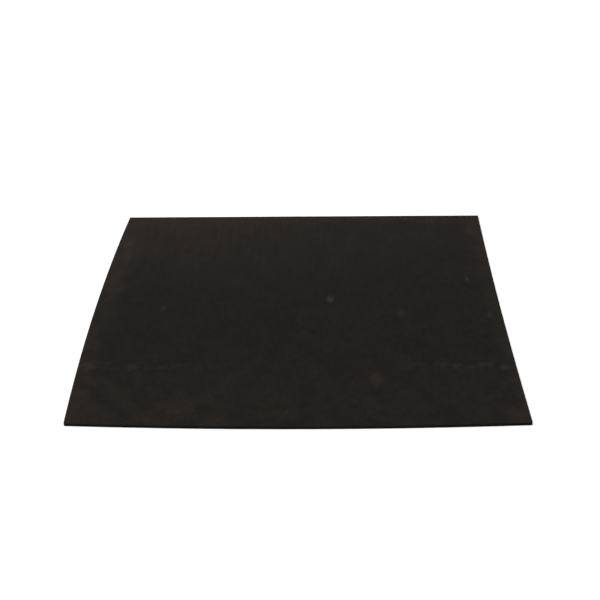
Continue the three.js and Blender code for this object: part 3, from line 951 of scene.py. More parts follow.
def foil_material(heater):
    """Soft aluminium foil: bright, crossed by sharp creases that fade out, with fine rolling lines."""
    material, tree, shader, where = new_material("aluminium_foil")
    ridges = []
    for size, width, bend in FOIL_CREASES:
        wander = add(tree, "ShaderNodeTexNoise", {"Vector": where, "Scale": 0.4 / size, "Detail": 3.0})
        shift = add(
            tree, "ShaderNodeVectorMath", {0: wander.outputs["Color"], "Scale": bend}, operation="SCALE",
        ).outputs[0]
        bent = add(tree, "ShaderNodeVectorMath", {0: where, 1: shift}, operation="ADD").outputs[0]
        creases = cell_texture(tree, bent, size, feature="DISTANCE_TO_EDGE")
        fading = ramp(tree, noise_texture(tree, where, 0.7 * size), 0.42, 0.66)
        ridges.append(product(tree, ramp(tree, creases, 0.0, width, 1.0, 0.0), fading))
    rolled = noise_texture(tree, stretched(tree, where, (1.0, 0.02, 1.0)), 0.5 * MM, detail=3.0)
    facets = noise_texture(tree, where, 9 * MM, detail=3.0, roughness=0.6)
    height = weighted(tree, (maths(tree, "MAXIMUM", *ridges), 0.22), (facets, 0.78))
    colour = blend_colour(tree, rolled, *shades(heater.foil_colour, 0.04))
    finish_with(tree, shader, colour, ramp(tree, rolled, 0.3, 0.7, 0.24, 0.34), height, depth=0.25 * MM)
    shader.inputs["Metallic"].default_value = 1.0
    return material


def felt_material(heater):
    """Needled felt: short fibres at all angles, with a few darker ones among them."""
    material, tree, shader, where = new_material("needled_felt")
    fibres = None
    for angle in (0.0, 1.1, 2.3):
        lengthwise = stretched(tree, turned(tree, where, angle), (1.0, 0.12, 1.0))
        strands = noise_texture(tree, lengthwise, 0.35 * MM, detail=3.0)
        fibres = strands if fibres is None else maths(tree, "MAXIMUM", fibres, strands)
    clumps = noise_texture(tree, where, 6 * MM, detail=3.0)
    shade = weighted(tree, (fibres, 0.7), (clumps, 0.3))
    colour = blend_colour(tree, ramp(tree, shade, 0.4, 0.7), *shades(heater.felt_colour, 0.22))
    finish_with(tree, shader, colour, ramp(tree, shade, 0.4, 0.7, 0.86, 0.97), fibres, depth=0.12 * MM)
    shader.inputs["Sheen Weight"].default_value = 0.3
    shader.inputs["Specular IOR Level"].default_value = 0.2
    return material


def woven_material(name, colour, pitch, angle, gap_shade_colour):
    """Woven or braided glass yarn: glossy threads with painted shade in the gaps between them."""
    material, tree, shader, where = new_material(name)
    weave = use_group(tree, "Weave", {"Vector": turned(tree, where, angle), "Pitch": pitch})
    yarn = blend_colour(tree, noise_texture(tree, where, pitch / 4, detail=3.0), *shades(colour, 0.12))
    # Painted shade: the gaps between the threads take the darker gap colour.
    tint = blend_colour(tree, weave["Gap"], yarn, opaque(gap_shade_colour))
    roughness = ramp(tree, weave["Height"], 0.0, 1.0, 0.8, 0.5)
    finish_with(tree, shader, tint, roughness, weave["Height"], depth=pitch / 6)
    return material


def tape_material(heater):
    """Amber film tape with its adhesive showing through in faint cloudy patches."""
    material, tree, shader, where = new_material("amber_tape")
    glue = ramp(tree, noise_texture(tree, where, 3.5 * MM, detail=4.0, roughness=0.6), 0.25, 0.75)
    ripples = noise_texture(tree, stretched(tree, where, (0.3, 1.0, 1.0)), 1.5 * MM)
    colour = blend_colour(tree, glue, *shades(heater.tape_colour, 0.07))
    finish_with(tree, shader, colour, ramp(tree, glue, 0.0, 1.0, 0.16, 0.3), ripples, depth=0.03 * MM)
    shader.inputs["Specular IOR Level"].default_value = 0.6
    return material


def fuse_material(heater):
    """Pale ceramic case whose ends are sealed with amber resin."""
    resin_from, resin_to = 4.1 * MM, 4.4 * MM
    material, tree, shader, where = new_material("fuse_case")
    surface = use_group(tree, "Moulded skin", {"Vector": where, "Size": 0.3 * MM})
    away = away_from(tree, axis_of(tree, where, 0), middle_of("thermal_fuse").x)
    ragged = maths(tree, "MULTIPLY", noise_texture(tree, where, 1.0 * MM), 0.5 * MM)
    sealed = ramp(tree, maths(tree, "ADD", away, ragged), resin_from, resin_to)
    case = blend_colour(tree, surface["Shade"], *shades(heater.fuse_colour, 0.06))
    colour = blend_colour(tree, sealed, case, opaque(heater.resin_colour))
    roughness = ramp(tree, sealed, 0.0, 1.0, 0.62, 0.24)
    finish_with(tree, shader, colour, roughness, surface["Height"], depth=0.03 * MM)
    return material


def floor_material(studio):
    """Pale seamless paper."""
    material, tree, shader, where = new_material("floor_paper")
    fibre = noise_texture(tree, where, 1.5 * MM, detail=3.0)
    colour = blend_colour(tree, fibre, opaque(studio.floor_colour), opaque(studio.floor_colour, 0.985))
    finish_with(tree, shader, colour, ramp(tree, fibre, 0.3, 0.7, 0.86, 0.94))
    shader.inputs["Specular IOR Level"].default_value = 0.1
    return material


# ---------------------------------------------------------------------------------------------------
# The covers and the edge

STRIP_BOND = 0.01 * MM  # between an edge strip and the cover above or below it
STRIP_STEP = 4 * MM
BACK_BOW_POWER = 8  # how late the back strips' outer face leaves the square towards a corner


def mark_inset(piece, plan):
    """Stores how far each point of a cover lies in from the nearest of its left, right and back sides."""
    mesh = piece.data
    attribute = mesh.attributes.new(INSET_ATTRIBUTE, "FLOAT", "POINT")
    for vertex, value in zip(mesh.vertices, attribute.data):
        from_middle = vertex.co.xy - plan.middle
        value.value = max(0.0, min(plan.half.x - abs(from_middle.x), plan.half.y - from_middle.y))


def make_covers(settings):
    plan, sheet, rubber = Plan(settings.sheet), settings.sheet, settings.rubber
    seam = sheet.seam_chamfer
    sides = {
        "top": [(0.0, TOP_BOTTOM + seam), (seam, TOP_BOTTOM)],
        "bottom": [(0.0, BOTTOM_TOP - seam), (seam, BOTTOM_TOP)],
    }
    rounded_top = quarter_round(sheet.top_edge_radius, TOP_TOP, 1)[::-1]
    rounded_bottom = quarter_round(sheet.top_edge_radius / 2, 0.0, -1)[::-1]
    shape = sheet_mesh(plan, TOP_BOTTOM, TOP_TOP, sides["top"][::-1], rounded_top, uneven=True)
    finish = cover_material("cover_rubber_top", plan, rubber, marked=True)
    top = new_piece("rubber_cover_top", shape, "top_cover", "cover_rubber", finish)
    mark_inset(top, plan)
    shape = sheet_mesh(plan, 0.0, BOTTOM_TOP, rounded_bottom, sides["bottom"][::-1], uneven=False)
    finish = cover_material("cover_rubber_under", plan, rubber, marked=False)
    new_piece("rubber_cover_bottom", shape, "bottom_cover", "cover_rubber", finish)


def strip_mesh(plan, stations, seam):
    """A closed edge strip. Each station is a pair of points in plan, in square-cornered coordinates: on
    the mat's outline, and on the pocket's wall."""
    low, high = BOTTOM_TOP + STRIP_BOND, TOP_BOTTOM - STRIP_BOND
    points, faces = [], []
    for outer, inner in stations:
        outside = plan.place(*outer)
        inside = plan.middle + Vector(inner)
        inward = (inside - outside).normalized()
        section = [
            (inside, low), (outside + inward * seam, low), (outside, low + seam),
            (outside, (low + high) / 2),
            (outside, high - seam), (outside + inward * seam, high), (inside, high),
        ]
        points += [Vector((place.x, place.y, z)) for place, z in section]
    size = len(points) // len(stations)
    for station in range(len(stations) - 1):
        start = station * size
        for corner in range(size):
            after = (corner + 1) % size
            faces.append((start + corner, start + after, start + size + after, start + size + corner))
    faces.append(tuple(range(size))[::-1])
    faces.append(tuple(range(len(points) - size, len(points))))
    for point in points:
        point.z += plan.lift(point)
    return points, faces


def make_edge(settings):
    plan, sheet = Plan(settings.sheet), settings.sheet
    material = cut_edge_material(settings.rubber)
    wall = Vector((POCKET_HIGH.x - POCKET_LOW.x, POCKET_HIGH.y - POCKET_LOW.y)) / 2
    gland_low, gland_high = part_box("edge_strip_back_left")[1].x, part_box("edge_strip_back_right")[0].x
    to_gland = ((gland_low - plan.middle.x) / wall.x, (gland_high - plan.middle.x) / wall.x)
    # Each strip: its node, the corner and the direction that it starts from, and the shares of its run
    runs = {
        "edge_strip_front": (lambda s: (s, -1), -1, 1),
        "edge_strip_right": (lambda s: (1, s), -1, 1),
        "edge_strip_back_right": (lambda s: (-s, 1), -1, -to_gland[1]),
        "edge_strip_back_left": (lambda s: (-s, 1), -to_gland[0], 1),
        "edge_strip_left": (lambda s: (-1, -s), -1, 1),
    }
    for node, (side, first, last) in runs.items():
        count = round(plan.half.y * (last - first) / STRIP_STEP)
        stations = []
        for step in range(count + 1):
            u, v = side(first + (last - first) * step / count)
            inner = (u * wall.x, v * wall.y)
            outer = (u * plan.half.x, v * plan.half.y)
            if "back" in node:  # square to the edge near the gland
                outer = (inner[0] + (outer[0] - inner[0]) * abs(u) ** BACK_BOW_POWER, outer[1])
            stations.append((outer, inner))
        shape = strip_mesh(plan, stations, sheet.seam_chamfer)
        new_piece(node.replace("edge_strip", "rubber_edge"), shape, node, "edge_rubber", material)


def rounded_box(width, height, radius, count):
    """Points round a rectangle with round corners, anticlockwise and spaced by angle."""
    points = []
    for index in range(count):
        turn = 2 * math.pi * (index + 0.5) / count
        x = math.copysign(width / 2 - radius, math.cos(turn)) + radius * math.cos(turn)
        y = math.copysign(height / 2 - radius, math.sin(turn)) + radius * math.sin(turn)
        points.append(Vector((x, y)))
    return points


GLAND_POINTS = 48
GLAND_CORNER = 0.3 * MM
GLAND_EDGE = 0.2 * MM
SLOT_WIDTH, SLOT_HEIGHT = 10.2 * MM, 1.3 * MM
SLOT_FLARE = 0.35 * MM


def make_gland(settings):
    """A flat bush through the back edge: a wide flange inside, a neck, and a slot with a flared mouth."""
    plan = Plan(settings.sheet)
    low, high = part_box("lead_gland")
    middle = (low + high) / 2
    height = high.z - low.z
    shoulder = POCKET_HIGH.y
    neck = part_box("edge_strip_back_right")[0].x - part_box("edge_strip_back_left")[1].x
    flange = high.x - low.x
    edge = GLAND_EDGE
    # Stations from inside to outside: y, width and inset of the outside, and flare of the slot
    stations = (
        (low.y, flange, edge, SLOT_FLARE),
        (low.y + edge, flange, 0.0, 0.0),
        (shoulder - 2 * edge, flange, 0.0, 0.0),
        (shoulder - edge, flange, edge, 0.0),
        (shoulder - edge, neck - edge, 0.0, 0.0),
        (high.y - SLOT_FLARE, neck - edge, 0.0, 0.0),
        (high.y, neck - edge, edge, SLOT_FLARE),
    )
    points, faces, loops = [], [], []
    for y, width, inset, mouth in stations:
        outer = rounded_box(width - 2 * inset, height - 2 * inset, GLAND_CORNER, GLAND_POINTS)
        slot_height = SLOT_HEIGHT + 2 * mouth
        inner = rounded_box(SLOT_WIDTH + 2 * mouth, slot_height, slot_height / 2, GLAND_POINTS)
        for loop in (outer, inner):
            loops.append(list(range(len(points), len(points) + GLAND_POINTS)))
            points += [Vector((middle.x + p.x, y, middle.z + p.y)) for p in loop]
    for station in range(len(stations) - 1):
        faces += bridge(loops[2 * station + 2], loops[2 * station])
        faces += bridge(loops[2 * station + 1], loops[2 * station + 3])
    faces += bridge(loops[0], loops[1])
    faces += bridge(loops[-1], loops[-2])
    for point in points:
        point.z += plan.lift(point)
    colour = settings.rubber.gland_colour
    finish = moulded_material("gland_plastic", colour, 0.6, 0.74, skin=0.25 * MM, gloss=0.11)
    new_piece("gland_bush", (points, faces), "lead_gland", "gland_plastic", finish)


# ---------------------------------------------------------------------------------------------------
# The heater's layers

LAYER_STEP = 4 * MM
FELT_LOFT, SCRIM_LOFT = 0.03 * MM, 0.01 * MM  # how far the top of each cloth dips at the most
SCRIM_PITCH = 0.8 * MM
# The scrim's gap colour is painted shade in the gaps of its weave.
SCRIM_GAP_SHADE = (0.3, 0.27, 0.2)
EYELET_HOLE = 1.7 * MM
EYELET_CALM = 8 * MM  # how far from the eyelet the foil's creases stay away
CREASE_WAVES = (45, 5.2)
NOTCH_NODE = "joint_block"
BAY_GAP = 1 * MM  # between the joint block and the sides of the notch for it


def notch():
    """The left, the right and the front side of the notch that the layers leave for the joint block."""
    low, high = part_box(NOTCH_NODE)
    return low.x - BAY_GAP, high.x + BAY_GAP, low.y - BAY_GAP


def layer_cells(node, step, hole=None):
    """The grid of a layer, less its notch at the back. A hole is (centre, radius), in a cell of its own."""
    low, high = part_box(node)
    left, right, front = notch()
    half = 2 * hole[1] if hole else 0.0
    lines = {"x": [low.x, left, right, high.x], "y": [low.y, front, high.y]}
    if hole:
        lines["x"][2:2] = [hole[0].x - half, hole[0].x + half]
        lines["y"][1:1] = [hole[0].y - half, hole[0].y + half]
    stations = {}
    for axis, stops in lines.items():
        places = [stops[0]]
        for start, end in zip(stops, stops[1:]):
            across_hole = hole and math.isclose(end - start, 2 * half)
            count = 1 if across_hole else max(1, round((end - start) / step))
            places += divided(start, end, count)[1:]
        stations[axis] = places

    def keeps(x, y):
        in_notch = left < x < right and y > front
        in_hole = hole and (Vector((x, y)) - hole[0].xy).length < hole[1]
        return not in_notch and not in_hole

    corners, cells = cells_of(stations["x"], stations["y"], keeps)
    if hole:
        cells += round_hole(corners, hole[0].xy, half, hole[1])
    return corners, cells


def round_hole(corners, centre, half, radius, per_side=6):
    """Fills between a square cell and a round hole in it, and adds the hole's points to the corners."""
    square = []
    for x, y in ((-half, -half), (half, -half), (half, half), (-half, half)):
        place = centre + Vector((x, y))
        square.append(min(range(len(corners)), key=lambda index: (corners[index] - place).length))
    count, start = 4 * per_side, len(corners)
    for index in range(count):
        turn = 2 * math.pi * index / count - 0.75 * math.pi
        corners.append(centre + Vector((radius * math.cos(turn), radius * math.sin(turn))))
    cells = []
    for index in range(count):
        side, step = divmod(index, per_side)
        nearest = square[side] if step < per_side // 2 else square[(side + 1) % 4]
        cells.append([nearest, start + (index + 1) % count, start + index])
        if step == per_side // 2:
            cells.append([square[side], square[(side + 1) % 4], start + index])
    return cells


def make_cloth(name, node, slot, material, loft):
    """A layer of cloth that lies flat on the one under it, less its notch for the joint block."""
    low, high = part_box(node)
    corners, cells = layer_cells(node, LAYER_STEP)
    shape = thickened(
        corners, cells, lambda place: low.z, lambda place: high.z - loft * waves(place, FELT_WAVES),
    )
    piece = new_piece(name, shape, node, slot, material)


def make_layers(settings):
    """The felt, the woven carrier and the foil."""
    heater = settings.heater
    felt = felt_material(heater)
    scrim = woven_material("woven_glass", heater.scrim_colour, SCRIM_PITCH, 0.0, SCRIM_GAP_SHADE)
    make_cloth("felt_blanket", "insulation_felt", "felt", felt, FELT_LOFT)
    make_cloth("glass_scrim", "wire_carrier", "glass_scrim", scrim, SCRIM_LOFT)

    node = "heat_spreader_foil"
    low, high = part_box(node)
    eyelet = middle_of("earth_eyelet")
    corners, cells = layer_cells(node, LAYER_STEP, hole=(eyelet, EYELET_HOLE))
    scale, layer = CREASE_WAVES

    def crinkled(place, base):
        """Creases that cross at all angles, and none close to the eyelet."""
        creases = noise.multi_fractal(Vector((place.x * scale, place.y * scale, layer)), 1.0, 2.0, 3)
        calm = min((place - eyelet.xy).length / EYELET_CALM, 1.0)
        return base + heater.foil_crinkle * min(max(creases * 0.5, 0.0), 1.0) * calm * calm

    shape = thickened(
        corners, cells, lambda place: crinkled(place, low.z), lambda place: crinkled(place, high.z),
    )
    new_piece("spreader_foil", shape, node, "foil", foil_material(heater))


# ---------------------------------------------------------------------------------------------------
# The heating wire and its tapes

CONDUCTOR = 0.28 * MM
WIRE_CHAMFER = 0.04 * MM
STRIPPED = 0.5 * MM  # bare conductor between the insulation and a crimp
CRIMP_HALF = 4 * MM
PAST_END = 0.001 * MM  # from a wire's end to what counts as past it
CONDUCTOR_SHORT = 0.3 * MM  # how far short of a crimp's middle a conductor stops
TAPE_STEP = 0.9 * MM
TAPE_BED = 0.02 * MM  # from the carrier to a tape that lies on it


def wire_route(runs):
    """The heating wire's middle line, from its neutral end round to its live end."""
    low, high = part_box("heating_wire")
    radius = (high.z - low.z) / 2
    z = middle_of("heating_wire").z
    neutral, live = middle_of("neutral_crimp"), middle_of("fuse_crimp_element")
    reach = CRIMP_HALF + STRIPPED
    left, right = low.x + radius, high.x - radius
    pitch = (right - left) / (runs - 1)
    bend = pitch / 2
    front, back, line = low.y + radius + bend, neutral.y - pitch - bend, neutral.y
    points = [Vector((neutral.x - reach, line, z))]
    points += arc((left + bend, line - bend), bend, 1, 2, z, steps=12)
    for index in range(runs - 1):
        x = left + (index + 0.5) * pitch
        points += arc((x, front), bend, 2, 4, z) if index % 2 == 0 else arc((x, back), bend, 2, 0, z)
    points += arc((right - bend, line - bend), bend, 0, 1, z, steps=12)
    return points + [Vector((live.x + reach, line, z))]


def insulated(route, radius, sides=16):
    """A round insulated wire along a route, its conductor standing out of both ends."""
    bare = CRIMP_HALF + STRIPPED - CONDUCTOR_SHORT
    tips = []
    first, last = (route[0] - route[1]).normalized(), (route[-1] - route[-2]).normalized()
    for outward, end, forward in ((first, route[0], -first), (last, route[-1], last)):
        tips.append([
            (end + outward * place, forward, circle(size, sides)) for place, size in (
                (bare, CONDUCTOR - WIRE_CHAMFER), (bare - WIRE_CHAMFER, CONDUCTOR), (0.0, CONDUCTOR),
                (0.0, radius - WIRE_CHAMFER), (-WIRE_CHAMFER, radius),
            )
        ])
    middle = [
        (place, (after - before).normalized(), circle(radius, sides))
        for before, place, after in zip(route, route[1:], route[2:])
    ]
    return lofted(tips[0] + middle + tips[1][::-1])


def wire_piece(name, node, slot, route, insulation, conductor):
    """An insulated wire. What stands out past its ends has the conductor's finish."""
    low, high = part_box(node)
    radius = (high.z - low.z) / 2
    piece = new_piece(name, insulated(route, radius), node, slot, insulation, conductor)
    mesh = piece.data
    for end, before in ((route[0], route[1]), (route[-1], route[-2])):
        outward = (end - before).normalized()
        for face in mesh.polygons:
            offset = face.center - end
            if offset.length < CRIMP_HALF + STRIPPED and offset.dot(outward) > PAST_END:
                face.material_index = 1
    return piece


def make_wire(settings):
    heater = settings.heater
    silicone = moulded_material("silicone_red", heater.wire_colour, 0.36, 0.5, skin=0.3 * MM)
    conductor = metal_material("tinned_conductor", heater.copper_colour, 0.24, 0.4, 0.7)
    route = wire_route(heater.runs)
    wire_piece("silicone_wire", "heating_wire", "wire_silicone", route, silicone, conductor)


def route_tree(route, step=0.4 * MM):
    """A search tree of points along a route."""
    places = []
    for start, end in zip(route, route[1:]):
        count = max(1, math.ceil((end - start).length / step))
        places += [start.lerp(end, index / count) for index in range(count)]
    tree = kdtree.KDTree(len(places))
    for index, place in enumerate(places):
        tree.insert((place.x, place.y, 0.0), index)
    tree.balance()
    return tree


def make_tapes(settings):
    """Tapes that pass over the wire and come down onto the carrier on both sides of it."""
    reach = settings.heater.tape_reach
    material = tape_material(settings.heater)
    tree = route_tree(wire_route(settings.heater.runs))
    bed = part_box("wire_carrier")[1].z + TAPE_BED
    for node in sorted(name for name in frame["nodes"] if name.startswith("wire_tape")):
        low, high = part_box(node)
        corners, cells = cells_of(*(
            divided(start, end, round((end - start) / TAPE_STEP))
            for start, end in ((low.x, high.x), (low.y, high.y))
        ))
        under = {}
        for corner in corners:
            away = tree.find((corner.x, corner.y, 0.0))[2]
            share = min(max((reach - away) / (reach - CONDUCTOR), 0.0), 1.0)
            under[tuple(corner)] = bed + (low.z - bed) * share * share * (3 - 2 * share)
        thickness = high.z - low.z
        shape = thickened(
            corners, cells, lambda place: under[tuple(place)], lambda place: under[tuple(place)] + thickness,
        )
        new_piece(node.replace("wire_tape", "amber_tape"), shape, node, "fixing_tape", material)


# ---------------------------------------------------------------------------------------------------
# The joints in the bay

CRIMP_WALL = 0.2 * MM
CRIMP_STEPS = 40
DENT_DEPTH = 0.1 * MM
DENT_INSIDE = 0.6  # how deep a dent is inside, as a share of its depth outside
DENT_LENGTH = 0.8 * MM
DENTS = (-2 * MM, 2 * MM)  # from the crimp's middle
SHRINK_WALL = 0.17 * MM
SHRINK_STEPS = 44
SHRINK_FIT = 0.99  # a sleeve's size at its crimp, as a share of the frame's, to leave room for its wave
SHRINK_PAST = 0.06  # how much tighter a sleeve is past its crimp, as a share of its radius
SHRINK_WAVES = ((0.004, 3.1), (0.003, 7.3))  # height as a share of the radius, radians per millimetre
LEAD_BEND = 4 * MM
EARTH_STEPS = 8
ALONG_X, ALONG_Y = Vector((1.0, 0.0, 0.0)), Vector((0.0, 1.0, 0.0))


def crimp_loop(place, radius, depth, count=24):
    """A crimp's section: round, and pressed in from above where the tool has closed it."""
    pressed = sum(math.exp(-(((place - dent) / DENT_LENGTH) ** 2)) for dent in DENTS)
    loop = []
    for point in circle(radius, count):
        share = max(point.y / radius, 0.0) ** 3
        loop.append(point * (1 - depth / radius * pressed * share))
    return loop


def sleeve_loop(place, half, radius, count=24):
    """A shrunk sleeve's section: tighter past the crimp, with a slight wave along it."""
    past = min(max((abs(place) - CRIMP_HALF) / (half - CRIMP_HALF), 0.0), 1.0)
    wave = sum(height * math.sin(place / MM * rate) for height, rate in SHRINK_WAVES)
    return circle(radius * (1 - SHRINK_PAST * past + wave), count)


def make_crimps(settings):
    """The six crimps, each with its shrunk sleeve."""
    heater = settings.heater
    brass = metal_material("tinned_brass", heater.brass_colour, 0.26, 0.44, 0.62)
    shrink = moulded_material("shrink_sleeve", heater.shrink_colour, 0.4, 0.52, skin=0.25 * MM)
    for node in sorted(name for name in frame["nodes"] if "crimp" in name and not name.endswith("sleeve")):
        low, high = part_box(node)
        size = high - low
        direction = ALONG_X if size.x > size.y else ALONG_Y

        def barrel(radius, depth):
            return lambda place: crimp_loop(place, radius, depth)

        outer = size.z / 2
        shape = hollow(
            middle_of(node), direction, max(size.x, size.y) / 2, CRIMP_STEPS,
            barrel(outer, DENT_DEPTH), barrel(outer - CRIMP_WALL, DENT_INSIDE * DENT_DEPTH),
        )
        new_piece(f"{node}_barrel", shape, node, "tinned_brass", brass)

        sleeve = f"{node}_sleeve"
        low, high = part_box(sleeve)
        size = high - low
        half, outer = max(size.x, size.y) / 2, size.z / 2

        def skin(radius):
            return lambda place: sleeve_loop(place, half, radius)

        shape = hollow(
            middle_of(sleeve), direction, half, SHRINK_STEPS,
            skin(outer * SHRINK_FIT), skin(outer - SHRINK_WALL),
        )
        new_piece(f"{node}_shrink", shape, sleeve, "shrink_sleeve", shrink)


def make_leads(settings):
    """The short leads from the joints to the supply crimps."""
    heater = settings.heater
    conductor = metal_material("lead_conductor", heater.copper_colour, 0.24, 0.4, 0.7)
    reach = CRIMP_HALF + STRIPPED
    leads = (
        ("blue_lead", "neutral", "neutral_crimp", heater.neutral_colour),
        ("brown_lead", "live", "fuse_crimp_lead", heater.live_colour),
    )
    for name, pole, crimp, colour in leads:
        start, end = middle_of(crimp), middle_of(f"supply_crimp_{pole}")
        side = math.copysign(1.0, start.x - end.x)
        turn = (end.x + side * LEAD_BEND, start.y + LEAD_BEND)
        route = [Vector((start.x - side * reach, start.y, start.z))]
        route += arc(turn, LEAD_BEND, 3, 2 if side > 0 else 4, start.z, steps=16)
        route.append(Vector((end.x, end.y - reach, start.z)))
        finish = moulded_material(f"{pole}_insulation", colour, 0.38, 0.5)
        wire_piece(name, f"{pole}_lead", f"{pole}_insulation", route, finish, conductor)

    low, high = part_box("earth_lead")
    middle = middle_of("earth_lead")
    bare = CRIMP_HALF + STRIPPED - CONDUCTOR_SHORT
    front, back = (Vector((middle.x, y, middle.z)) for y in (low.y + bare, high.y - bare))
    route = [front.lerp(back, step / EARTH_STEPS) for step in range(EARTH_STEPS + 1)]
    finish = earth_material(heater)
    wire_piece("green_yellow_lead", "earth_lead", "earth_insulation", route, finish, conductor)


FUSE_BODY_HALF = 5 * MM
FUSE_CORNER = 0.3 * MM
FUSE_POINTS = 32
# The body's rounded end: place as a share of its half length, and size of the section there
FUSE_END = ((1.0, 0.6), (0.99, 0.8), (0.96, 0.93), (0.9, 1.0))
# The resin round each leg: how far out from the body, and its size as a share of the leg's
RESIN_NECK = ((0.35 * MM, 1.0), (0.08 * MM, 1.5))
LEG_FROM = 0.3 * MM  # how far out from the body its legs' finish begins
LEG_TIP = 0.85  # size of a leg's chamfered tip, as a share of the leg's
BRAID_WALL = 0.108 * MM
BRAID_STEPS = 48
BRAID_PITCH = 0.55 * MM
# The braid's gap colour is painted shade in the gaps between its yarns.
BRAID_GAP_SHADE = (0.42, 0.38, 0.3)
BRAID_WAVE, BRAID_WAVE_RATE = 0.025 * MM, 4.4  # height, and radians per millimetre
BRAID_FLARE, BRAID_FLARE_LENGTH = 0.06 * MM, 1.2 * MM


def make_fuse(settings):
    """The flat thermal fuse on its two legs, and the braided sleeve that is slipped over it."""
    heater = settings.heater
    middle = middle_of("thermal_fuse")
    low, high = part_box("thermal_fuse")
    width, height = high.y - low.y, high.z - low.z
    leg_end = (high.x - low.x) / 2
    rounds = [(leg_end, LEG_TIP), (leg_end - WIRE_CHAMFER, 1.0)]
    rounds += [(FUSE_BODY_HALF + out, size) for out, size in RESIN_NECK]
    stations = [(place, circle(CONDUCTOR * size, FUSE_POINTS)) for place, size in rounds]
    for share, size in FUSE_END:
        loop = rounded_box(width * size, height * size, FUSE_CORNER * size, FUSE_POINTS)
        stations.append((FUSE_BODY_HALF * share, loop))
    right = [(middle + ALONG_X * place, ALONG_X, loop) for place, loop in stations]
    left = [(middle - ALONG_X * place, ALONG_X, loop) for place, loop in stations]
    case = fuse_material(heater)
    leg = metal_material("fuse_leg", heater.copper_colour, 0.24, 0.4, 0.7)
    shape = lofted(right + left[::-1])
    fuse = new_piece("flat_thermal_fuse", shape, "thermal_fuse", "fuse_case", case, leg)
    for face in fuse.data.polygons:
        if abs(face.center.x - middle.x) > FUSE_BODY_HALF + LEG_FROM:
            face.material_index = 1

    low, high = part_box("thermal_fuse_sleeve")
    width, height, half = high.y - low.y, high.z - low.z, (high.x - low.x) / 2

    def braid(inset):
        def loop(place):
            wave = BRAID_WAVE * math.sin(place / MM * BRAID_WAVE_RATE)
            opened = max(abs(place) - half + BRAID_FLARE_LENGTH, 0.0) / BRAID_FLARE_LENGTH
            shrink = 2 * (inset + BRAID_FLARE * (1 - opened) - wave)
            return rounded_box(width - shrink, height - shrink, FUSE_CORNER, FUSE_POINTS)
        return loop

    middle = middle_of("thermal_fuse_sleeve")
    shape = hollow(middle, ALONG_X, half, BRAID_STEPS, braid(0.0), braid(BRAID_WALL))
    yarn = woven_material("glass_braid", heater.braid_colour, BRAID_PITCH, math.pi / 4, BRAID_GAP_SHADE)
    new_piece("braided_sleeve", shape, "thermal_fuse_sleeve", "glass_sleeve", yarn)


def softened(name, node, width):
    """A copy of a node's shape with its edges rounded, as its mould rounds them."""
    work = bmesh.new()
    work.from_mesh(frame["nodes"][node].data)
    bmesh.ops.remove_doubles(work, verts=work.verts, dist=0.001 * MM)
    bmesh.ops.dissolve_limit(work, angle_limit=math.radians(2), verts=work.verts, edges=work.edges)
    edges = [edge for edge in work.edges if edge.is_manifold and edge.calc_face_angle() > SHARP_ANGLE]
    bmesh.ops.bevel(
        work, geom=edges, offset=width, segments=2, profile=0.5, affect="EDGES", clamp_overlap=True,
    )
    mesh = bpy.data.meshes.new(name)
    work.to_mesh(mesh)
    work.free()
    return shaded(mesh)


def joined(name, shapes):
    """One mesh from several closed shapes that pass into each other."""
    scene = bpy.context.scene
    parts = []
    for index, shape in enumerate(shapes):
        part = bpy.data.objects.new(f"{name}_{index}", new_mesh(f"{name}_{index}", *shape))
        scene.collection.objects.link(part)
        parts.append(part)
    whole = parts[0]
    for part in parts[1:]:
        union = whole.modifiers.new(part.name, "BOOLEAN")
        union.operation, union.solver, union.object = "UNION", "EXACT", part
    bpy.context.view_layer.update()
    evaluated = whole.evaluated_get(bpy.context.evaluated_depsgraph_get())
    mesh = bpy.data.meshes.new_from_object(evaluated)
    mesh.name = name
    for part in parts:
        bpy.data.objects.remove(part)
    return shaded(mesh)


BLOCK_EDGE = 0.08 * MM
TERMINAL_THICKNESS = 0.35 * MM
TERMINAL_CORNER = 0.08 * MM
TERMINAL_POINTS = 24
TERMINAL_GAP = 0.04 * MM  # between the ring and the foil over it
BARREL_LENGTH, BARREL_OUTER, BARREL_INNER = 5.5 * MM, 0.75 * MM, 0.4 * MM
BARREL_STEPS = 24
TONGUE_OVERLAP = (0.9 * MM, 1 * MM)  # how far the tongue runs into the ring and into the barrel
TONGUE = ((2.6 * MM, 0.0), (2.1 * MM, 0.03 * MM), (1.4 * MM, 0.08 * MM))  # width and drop, ring to barrel
EYELET_BORE, EYELET_SHANK, EYELET_FOOT = 1.1 * MM, 1.4 * MM, 2.2 * MM
EYELET_FOOT_THICKNESS, EYELET_HEAD_THICKNESS = 0.12 * MM, 0.1 * MM
EYELET_RIM = 0.04 * MM


def terminal_mesh():
    """A ring terminal: its ring, its tongue and its barrel, joined."""
    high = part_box("earth_terminal")[1]
    centre = middle_of("earth_eyelet")
    ring_outer = high.x - middle_of("earth_terminal").x
    ring_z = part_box("heat_spreader_foil")[0].z - TERMINAL_GAP - TERMINAL_THICKNESS / 2

    def strip(width):
        return rounded_box(width, TERMINAL_THICKNESS, TERMINAL_CORNER, TERMINAL_POINTS)

    place = Vector((centre.x, centre.y, ring_z))
    ring = ring_of(place, (ring_outer + EYELET_HOLE) / 2, strip(ring_outer - EYELET_HOLE))
    front = centre.y + ring_outer - TONGUE_OVERLAP[0]
    back = high.y - BARREL_LENGTH + TONGUE_OVERLAP[1]
    tongue = lofted([
        (Vector((centre.x, y, ring_z - drop)), ALONG_Y, strip(width))
        for y, (width, drop) in zip((front, (front + back) / 2, back), TONGUE)
    ])
    place = Vector((centre.x, high.y - BARREL_LENGTH / 2, middle_of("earth_lead").z))
    barrel = hollow(
        place, ALONG_Y, BARREL_LENGTH / 2, BARREL_STEPS,
        lambda place: crimp_loop(place, BARREL_OUTER, 0.0),
        lambda place: crimp_loop(place, BARREL_INNER, 0.0),
    )
    return joined("ring_terminal", (ring, tongue, barrel))


